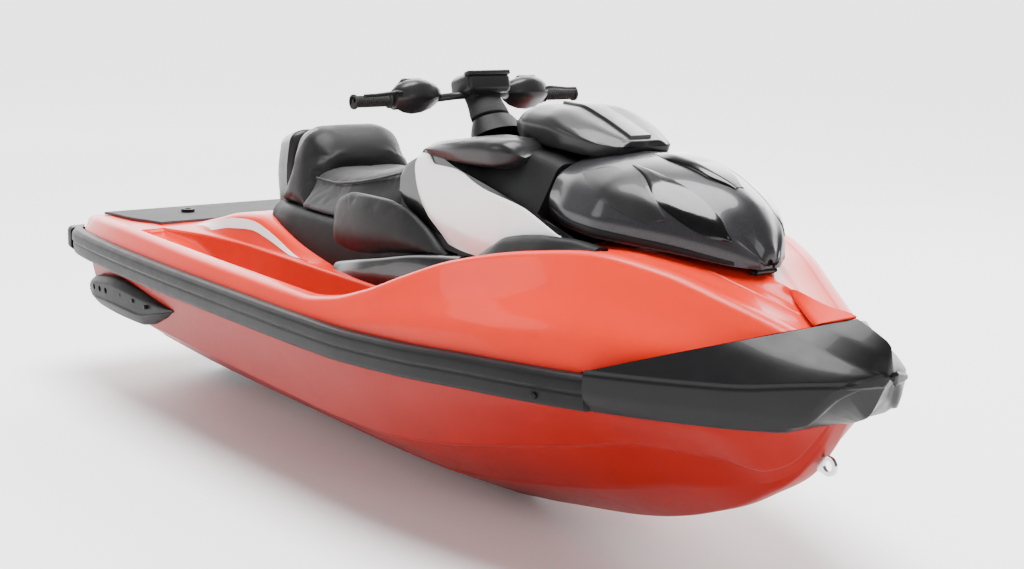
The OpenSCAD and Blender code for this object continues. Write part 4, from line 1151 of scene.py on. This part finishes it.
class WATERCRAFT_OT_hood(bpy.types.Operator):
    """Opening hood with its inlays, the tray below it and the fairing on top"""

    bl_idname = "watercraft.hood"
    bl_label = "Hood"

    def execute(self, context):
        rings = []
        for x in steps(700, 1180, 12) + steps(1192, 1262, 7):
            half = hood_half(x)
            rings.append(both_sides(x, half))
        end = rings[-1]
        rings.append([(1266, y * 0.86, 530 + (z - 530) * 0.8) for x, y, z in end])
        rings.append([(1267, y * 0.4, 530 + (z - 530) * 0.4) for x, y, z in end])
        hood = loft("hood_shell", rings)
        in_edit(hood, recalculate)
        if max(p.normal.z for p in hood.data.polygons) < 0.5:
            in_edit(hood, bpy.ops.mesh.flip_normals)
        apply_modifier(hood, "SOLIDIFY", thickness=0.008, offset=-1)
        knuckle = rod("knuckle", (1246, -29, 520), (1246, 29, 520), 9, 24)
        arm = block("arm", (12, 58, 34), (1246, 0, 538), 1.5)
        hood = joined("hood_shell", [hood, knuckle, arm])
        settle(hood, "hood_lid", FINISHES["hood_lacquer"], ["hood"], 40)
        for side, name in SIDES:
            leaf = hood_patch("hood_leaf_" + name, [(790, 0.55), (850, 0.42), (950, 0.46),
                                                    (1050, 0.62), (1090, 0.72)],
                              [(790, 0.57), (850, 0.66), (950, 0.76), (1050, 0.80), (1090, 0.735)],
                              2.4, side)
            settle(leaf, "hood_lid", FINISHES["cover_plastic"], angle=50)
            dark = hood_patch("hood_inlay_" + name, [(900, 0.33), (980, 0.34), (1080, 0.36),
                                                     (1180, 0.46), (1222, 0.62)],
                              [(900, 0.35), (960, 0.42), (1080, 0.66), (1180, 0.74), (1222, 0.66)],
                              3.4, side)
            settle(dark, "hood_lid", FINISHES["piano_black"], angle=50)
            rim = hood_patch("hood_rim_" + name, [(716, 0.93), (960, 0.93), (1230, 0.92)],
                             [(716, 0.985), (960, 0.985), (1230, 0.985)], 2.6, side)
            settle(rim, "hood_lid", FINISHES["satin_black"], angle=50)
        rings = []
        for x in steps(858, 1150, 12):
            t, wide = along(HOOD_TOP, x), along([(858, 26), (950, 50), (1080, 46), (1150, 16)], x)
            rise = along([(858, 1.5), (960, 9), (1080, 7), (1150, 1)], x)
            rings.append(pad_ring(x, [(wide * 0.7, t + rise), (wide, t - 3), (wide, t - 12)],
                                  [8, 6, 2]))
        insert = solid("hood_scoop", rings)
        settle(insert, "hood_lid", FINISHES["piano_black"], ["hood_insert"], 35)
        self.fairing()
        self.tray()
        return {"FINISHED"}

    def fairing(self):
        """Upper fairing with the strip along its ridge"""

        def ring_at(x):
            t = along(FAIRING_TOP, x)
            w = along([(372, 96), (470, 148), (600, 158), (690, 146), (760, 116), (800, 84)], x)
            lo = along([(372, 762), (620, 752), (744, 744), (800, 756)], x)
            return pad_ring(x, [(w * 0.62, t - 6), (w * 0.92, t - 26), (w, (t + lo) / 2 + 4),
                                (w * 0.9, lo)],
                            [36, 24, 24, 8])

        shell = solid("fairing_shell", ease_ends(ring_at, 386, 786, 12, 16))
        settle(shell, "hood_lid", FINISHES["cover_plastic"], ["upper_fairing"],
               45)
        rings = []
        for x in steps(470, 780, 12):
            t = along(FAIRING_TOP, x)
            w = along([(470, 12), (600, 30), (780, 34)], x)
            rings.append(pad_ring(x, [(w, t + 1.6), (w + 2, t - 8)], [2, 2]))
        strip = solid("fairing_strip", rings)
        settle(strip, "hood_lid", FINISHES["hood_lacquer"])

    def tray(self):
        """Tray under the hood, open to the storage tub, with the hinge pin"""
        rings = []
        for x in steps(900, 1352, 12):
            w, t, foot = along(TRAY_W, x), along(TRAY_TOP, x), along(CREST_Z, x) - 4
            wall = max(10, min(w - 8, along(HOOD_W, min(x, 1262)) + 10 - max(0, x - 1262) / 2))
            floor = min(t - 8, along(HOOD_LOW, min(x, 1262)) - (18 if x > 1205 else 3))
            half = rounded([(0, floor), (wall - 3, floor), (wall, t - 1), (w - 6, t), (w, t - 10),
                            (w - 5, max(foot, t - 120))], [3, 2, 4, 5], 3)
            rings.append(both_sides(x, half))
        tray = loft("hood_tray_shell", rings)
        in_edit(tray, recalculate)
        apply_modifier(tray, "SOLIDIFY", thickness=0.003, offset=-1)
        carve(tray, block("tub", (300, 300, 200), (1040, 0, 520), 0))
        carve(tray, block("pocket", (52, 72, 80), (1250, 0, 540), 0))
        pin = rod("pin", (1246, -42, 520), (1246, 42, 520), 5, 20)
        settle(joined("hood_tray_shell", [tray, pin]), "root",
               FINISHES["satin_black"], ["hood_tray"])


# ---- Steering


LEAN = Matrix.Translation((0.150, 0, 0.752)) @ Matrix.Rotation(math.radians(-38), 4, "Y")
POD = LEAN @ Matrix.Translation((0, 0, 0.142)) @ Matrix.Rotation(math.radians(22), 4, "Y")


def placed(obj, matrix):
    obj.data.transform(matrix)
    return obj


def ovals(sections, n, shift):
    """Oval rings of n points round the column, each from its height, depth and width"""
    turns = [2 * math.pi * k / n for k in range(n)]
    return [[(deep * math.cos(a) + shift, wide * math.sin(a), z) for a in turns]
            for z, deep, wide in sections]


class SteeringSettings(bpy.types.PropertyGroup):
    """Sizes of the handlebar and its grips"""

    bar_radius: bpy.props.FloatProperty(name="Bar radius",
                                        description="Outside radius of the bar tube",
                                        default=0.011, min=0.009, max=0.013, unit="LENGTH")
    ribs: bpy.props.IntProperty(name="Grip ribs", description="Raised rings along each grip",
                                default=13, min=4, max=24)


class WATERCRAFT_OT_steering(bpy.types.Operator):
    """Handlebar with ribbed grips, switch housings, levers, boot and display"""

    bl_idname = "watercraft.steering"
    bl_label = "Steering"

    def execute(self, context):
        settings = context.scene.watercraft_steering
        r = settings.bar_radius * 1000
        corners = [(-62, -388, 150), (-62, -134, 150), (0, -84, 120), (0, 84, 120), (-62, 134, 150),
                   (-62, 388, 150)]
        path = smooth_path(corners, 26)
        bar = placed(tube("handlebar_tube", path, r, 24), LEAN)
        settle(bar, "steering", FINISHES["bar_paint"], ["handlebar"])
        hood = ovals(((40, 36, 56), (44, 40, 64), (60, 39, 63), (84, 33, 60), (104, 29, 60),
                      (122, 27, 58), (134, 23, 50), (138, 14, 34)), 40, -3)
        folds = [solid("cowl", hood)]
        folds += [rod("fold", (0, 0, 46 + 6 * k), (0, 0, 50 + 6 * k), 24 - k, 40,
                      22 - k) for k in range(3)]
        clamp = block("clamp", (46, 104, 34), (0, 0, 116), 7, segments=4)
        caps = [block("cap", (40, 26, 12), (0, y, 137), 3) for y in (-40, 40)]
        bolts = [rod("bolt", (x, y, 140), (x, y, 147), 4, 6) for x in (-13, 13) for y in (-40, 40)]
        shaft = rod("shaft", (0, 0, -40), (0, 0, 104), 14.8)
        boot = placed(joined("steering_boot", folds + [clamp, shaft] + caps + bolts), LEAN)
        settle(boot, "steering", FINISHES["grip_rubber"], ["steering_neck"])
        for side, name in SIDES:
            self.grip(side, name, settings.ribs)
            self.control(side, name)
        self.pod()
        collar = ovals(((-26, 62, 92), (0, 54, 84), (20, 46, 74), (31, 42, 68), (34, 36, 60)), 48,
                       0)
        collar = placed(solid("column_collar", collar), LEAN)
        settle(collar, "root", FINISHES["trim_plastic"])
        return {"FINISHED"}

    def grip(self, side, name, ribs):
        """Rubber grip with its raised ribs and end flange"""
        core = [rod("core", (-62, side * 396, 150), (-62, side * 272, 150), 15.4, 40)]
        for k in range(ribs):
            y = 380 - k * 91 / max(1, ribs - 1)
            core.append(rod("rib", (-62, side * (y + 1.9), 150), (-62, side * (y - 1.9), 150), 17,
                            40))
        core.append(rod("flange", (-62, side * 280, 150), (-62, side * 274, 150), 22, 40))
        core.append(rod("end", (-62, side * 396, 150), (-62, side * 389, 150), 21.5, 40))
        for piece in core[1:]:
            bevel_over(piece, 0.0012, 40)
        grip = placed(joined("grip_sleeve_" + name, core), LEAN)
        settle(grip, "steering", FINISHES["grip_rubber"], ["grip_" + name])

    def control(self, side, name):
        """Switch housing with its clamp, lever, keys and start button"""
        y = 211
        spans = ((268, 22, 20), (258, 34, 29), (235, 47, 38), (205, 54, 42), (172, 52, 39),
                 (142, 40, 31),
                 (120, 24, 19), (112, 13, 10))
        rings = []
        for at, deep, tall in spans:
            rings.append([(-46 + px * deep, side * at, 152 + pz * tall) for px, pz in
                          rounded_ring([(-0.8, 1), (0.62, 1), (1.05, 0.3), (0.8, -0.9), (-0.7, -1)],
                                       [0.3, 0.35, 0.3, 0.4, 0.3], 4)])
        body = solid("body", rings)
        brow = block("brow", (40, 70, 16), (-38, side * (y - 6), 189), 6, segments=4)
        lower = rod("clamp", (-62, side * (y - 50), 150), (-62, side * (y + 54), 150), 27, 36)
        bevel_over(lower, 0.004, 40, 3)
        pivot = rod("pivot", (-22, side * (y + 30), 128), (-22, side * (y + 30), 164), 9, 24)
        blade = tube("blade", smooth_path([(-22, side * (y + 30), 146), (-14, side * (y + 62), 146),
                                           (-24, side * (y + 122), 146), (-26, side * (y + 166),
                                                                          146)], 12),
                     lambda s: 6.5 - 1.5 * s, 14)
        screws = [rod("screw", (-46 + 12 * k, side * (y - 30), 195),
                      (-46 + 12 * k, side * (y - 30), 198.5), 3.4, 12)
                  for k in (-1, 1)]
        shell = placed(joined("control_shell_" + name, [body, brow, lower, pivot, blade] + screws),
                       LEAN)
        settle(shell, "steering", FINISHES["cover_plastic"], ["control_" + name], 40)
        keys = [block("key", (12, 16, 7), (-50 + 20 * k, side * (y + 14), 197),
                      3) for k in range(2)]
        keys.append(block("rocker", (10, 26, 7), (-62, side * (y + 8), 195), 3))
        keys = placed(joined("control_keys_" + name, keys), LEAN)
        settle(keys, "steering", FINISHES["piano_black"])
        start = placed(rod("start_" + name, (-84, side * (y + 20), 166),
                           (-96, side * (y + 20), 168), 8, 28), LEAN)
        settle(start, "steering", FINISHES["button_red"])

    def pod(self):
        """Display under its visor, with plain marks on the screen"""
        case = block("case", (100, 156, 58), (8, 0, 7), 18, segments=5)
        visor = block("visor", (26, 150, 14), (48, 0, 35), 5, segments=3)
        case = placed(joined("display_case", [case, visor]), POD)
        settle(case, "steering", FINISHES["cover_plastic"], ["display_pod"], 40)
        screen = placed(block("screen", (62, 126, 3), (-4, 0, 36.4), 1.2), POD)
        screen.name = screen.data.name = "display_screen"
        settle(screen, "steering", FINISHES["screen_glass"])
        marks = [block("mark", (1.6, 96, 0.6), (-22, 0, 38.2), 0)]
        marks += [block("mark", (20, 1.6, 0.6), (-2, y, 38.2), 0) for y in (-42, -21, 0, 21, 42)]
        marks += [rod("mark", (8, y, 37.6), (8, y, 38.4), 8, 28) for y in (-30, 30)]
        marks = placed(joined("display_marks", marks), POD)
        settle(marks, "steering", FINISHES["thread"])


def smooth_path(points, radius, n=8):
    """Path with its corners eased, through millimetre points"""
    return rounded(points, [radius] * len(points), n, 0.45)


# ---- Fittings carried from the CAD frame, stage and panel


class WATERCRAFT_OT_fittings(bpy.types.Operator):
    """Finishes on the drive, the towing eyes, the mat and the other carried parts"""

    bl_idname = "watercraft.fittings"
    bl_label = "Fittings"

    def execute(self, context):
        for node, name in CARRIED.items():
            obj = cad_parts[node]
            obj.data.materials.clear()
            obj.data.materials.append(FINISHES[name])
            shade(obj, 30)
        return {"FINISHED"}


CAMERA_PLACE = (4.146, -2.940, 1.273)
CAMERA_TURN = (53.002, 11.094, 1.507)
CAMERA_FOCAL = 1729.963 / 1024
FLOOR_Z = -0.2868


class WATERCRAFT_OT_stage(bpy.types.Operator):
    """Pale studio floor with a painted glow that fades to painted shade round the craft, soft
    lights, bright surroundings and the camera
    """

    bl_idname = "watercraft.stage"
    bl_label = "Stage"

    def execute(self, context):
        deselect()
        bpy.ops.mesh.primitive_plane_add(size=240, location=(0, 0, FLOOR_Z))
        floor = bpy.context.active_object
        floor.name = "floor"
        floor.data.materials.append(FINISHES["studio_floor"])
        # Painted glow on the floor, which is no lamp: its emission is weakest near the craft and
        # grows with distance, so the floor is painted darker round the craft, where its shadow
        # falls
        tree = FINISHES["studio_floor"].node_tree
        glow = tree.nodes["Principled BSDF"]
        glow.inputs["Emission Color"].default_value = (1, 1, 1, 1)
        where = tree.nodes.new("ShaderNodeTexCoord").outputs["Object"]
        reach = tree.nodes.new("ShaderNodeVectorMath")
        reach.operation = "LENGTH"
        tree.links.new(where, reach.inputs[0])
        rise = linked(tree, "ShaderNodeMapRange", Value=reach.outputs["Value"],
                      From_Min=1.4, From_Max=9.0, To_Min=0.06, To_Max=1.7)
        tree.links.new(rise.outputs["Result"], glow.inputs["Emission Strength"])
        for name, place, size, power in (
                ("key", (0.4, -0.2, 6.8), 4.6, 1450), ("fill", (-2.6, -6.4, 3.4), 3.0, 130),
                ("rim", (-1.5, 5.2, 4.2), 4.0, 260), ("nose", (6.2, -1.2, 2.6), 2.0, 60)):
            bpy.ops.object.light_add(type="AREA", location=place)
            lamp = bpy.context.active_object
            lamp.name = "light_" + name
            lamp.data.shape = "DISK"
            lamp.data.size = size
            lamp.data.energy = power
            lamp.rotation_euler = (Vector((0, 0,
                                           0.2)) - Vector(place)).to_track_quat("-Z",
                                                                                "Y").to_euler()
        world = bpy.data.worlds.new("Studio")
        world.use_nodes = True
        self.backdrop(world.node_tree)
        bpy.context.scene.world = world
        self.camera()
        return {"FINISHED"}

    def backdrop(self, tree):
        """Lit backdrop behind the craft, fading to a dimmer room around it"""
        sky = tree.nodes["Background"]
        way = tree.nodes.new("ShaderNodeTexCoord").outputs["Generated"]
        facing = tree.nodes.new("ShaderNodeVectorMath")
        facing.operation = "DOT_PRODUCT"
        facing.inputs[1].default_value = (-0.80, 0.60, -0.05)
        tree.links.new(way, facing.inputs[0])
        blend = linked(tree, "ShaderNodeMapRange", Value=facing.outputs["Value"],
                       From_Min=0.35, From_Max=0.9, To_Min=0.22, To_Max=8.0)
        blend.interpolation_type = "SMOOTHSTEP"
        sky.inputs["Color"].default_value = (1, 1, 1, 1)
        tree.links.new(blend.outputs["Result"], sky.inputs["Strength"])

    def camera(self):
        """Camera placed by its heading, pitch and roll"""
        az, pitch, roll = (math.radians(angle) for angle in CAMERA_TURN)
        back = Vector((math.sin(az) * math.cos(pitch), -math.cos(az) * math.cos(pitch),
                       math.sin(pitch)))
        right = Vector((math.cos(az), math.sin(az), 0))
        up = back.cross(right)
        across = right * math.cos(roll) + up * math.sin(roll)
        above = up * math.cos(roll) - right * math.sin(roll)
        bpy.ops.object.camera_add(location=(0, 0, 0))
        camera = bpy.context.active_object
        camera.name = "camera"
        turn = Matrix((across, above, back)).transposed().to_4x4()
        camera.matrix_world = Matrix.Translation(CAMERA_PLACE) @ turn
        camera.data.sensor_width = 36
        camera.data.lens = CAMERA_FOCAL * 36
        bpy.context.scene.camera = camera
        return camera


class WATERCRAFT_PT_panel(bpy.types.Panel):
    """Buttons and sizes of the watercraft"""

    bl_idname = "WATERCRAFT_PT_panel"
    bl_label = "Personal Watercraft"
    bl_space_type = "VIEW_3D"
    bl_region_type = "UI"
    bl_category = "Watercraft"

    def draw(self, context):
        scene = context.scene
        column = self.layout.column()
        for group, fields in (("watercraft_hull", ("wall", "station")),
                              ("watercraft_seat", ("pressure", "voxel")),
                              ("watercraft_steering", ("bar_radius", "ribs"))):
            for field in fields:
                column.prop(getattr(scene, group), field)
        for operator in OPERATORS:
            column.operator(operator.bl_idname)


SETTINGS = (("watercraft_hull", HullSettings), ("watercraft_seat", SeatSettings),
            ("watercraft_steering", SteeringSettings))
OPERATORS = (WATERCRAFT_OT_hull, WATERCRAFT_OT_deck, WATERCRAFT_OT_strakes, WATERCRAFT_OT_bow_cap,
             WATERCRAFT_OT_sponsons, WATERCRAFT_OT_mats, WATERCRAFT_OT_seat_shells,
             WATERCRAFT_OT_console,
             WATERCRAFT_OT_hood, WATERCRAFT_OT_steering, WATERCRAFT_OT_fittings, WATERCRAFT_OT_seat,
             WATERCRAFT_OT_stage)


def register():
    for name, group in SETTINGS:
        bpy.utils.register_class(group)
        setattr(bpy.types.Scene, name, bpy.props.PointerProperty(type=group))
    for operator in OPERATORS:
        bpy.utils.register_class(operator)
    bpy.utils.register_class(WATERCRAFT_PT_panel)


def unregister():
    bpy.utils.unregister_class(WATERCRAFT_PT_panel)
    for operator in reversed(OPERATORS):
        bpy.utils.unregister_class(operator)
    for name, group in reversed(SETTINGS):
        delattr(bpy.types.Scene, name)
        bpy.utils.unregister_class(group)


def main():
    register()
    make_finishes()
    bpy.ops.watercraft.hull()
    bpy.ops.watercraft.deck()
    bpy.ops.watercraft.strakes()
    bpy.ops.watercraft.bow_cap()
    bpy.ops.watercraft.sponsons()
    bpy.ops.watercraft.mats()
    bpy.ops.watercraft.seat_shells()
    bpy.ops.watercraft.console()
    bpy.ops.watercraft.hood()
    bpy.ops.watercraft.steering()
    bpy.ops.watercraft.fittings()
    bpy.ops.watercraft.seat()
    bpy.ops.watercraft.stage()


if __name__ == "__main__":
    main()
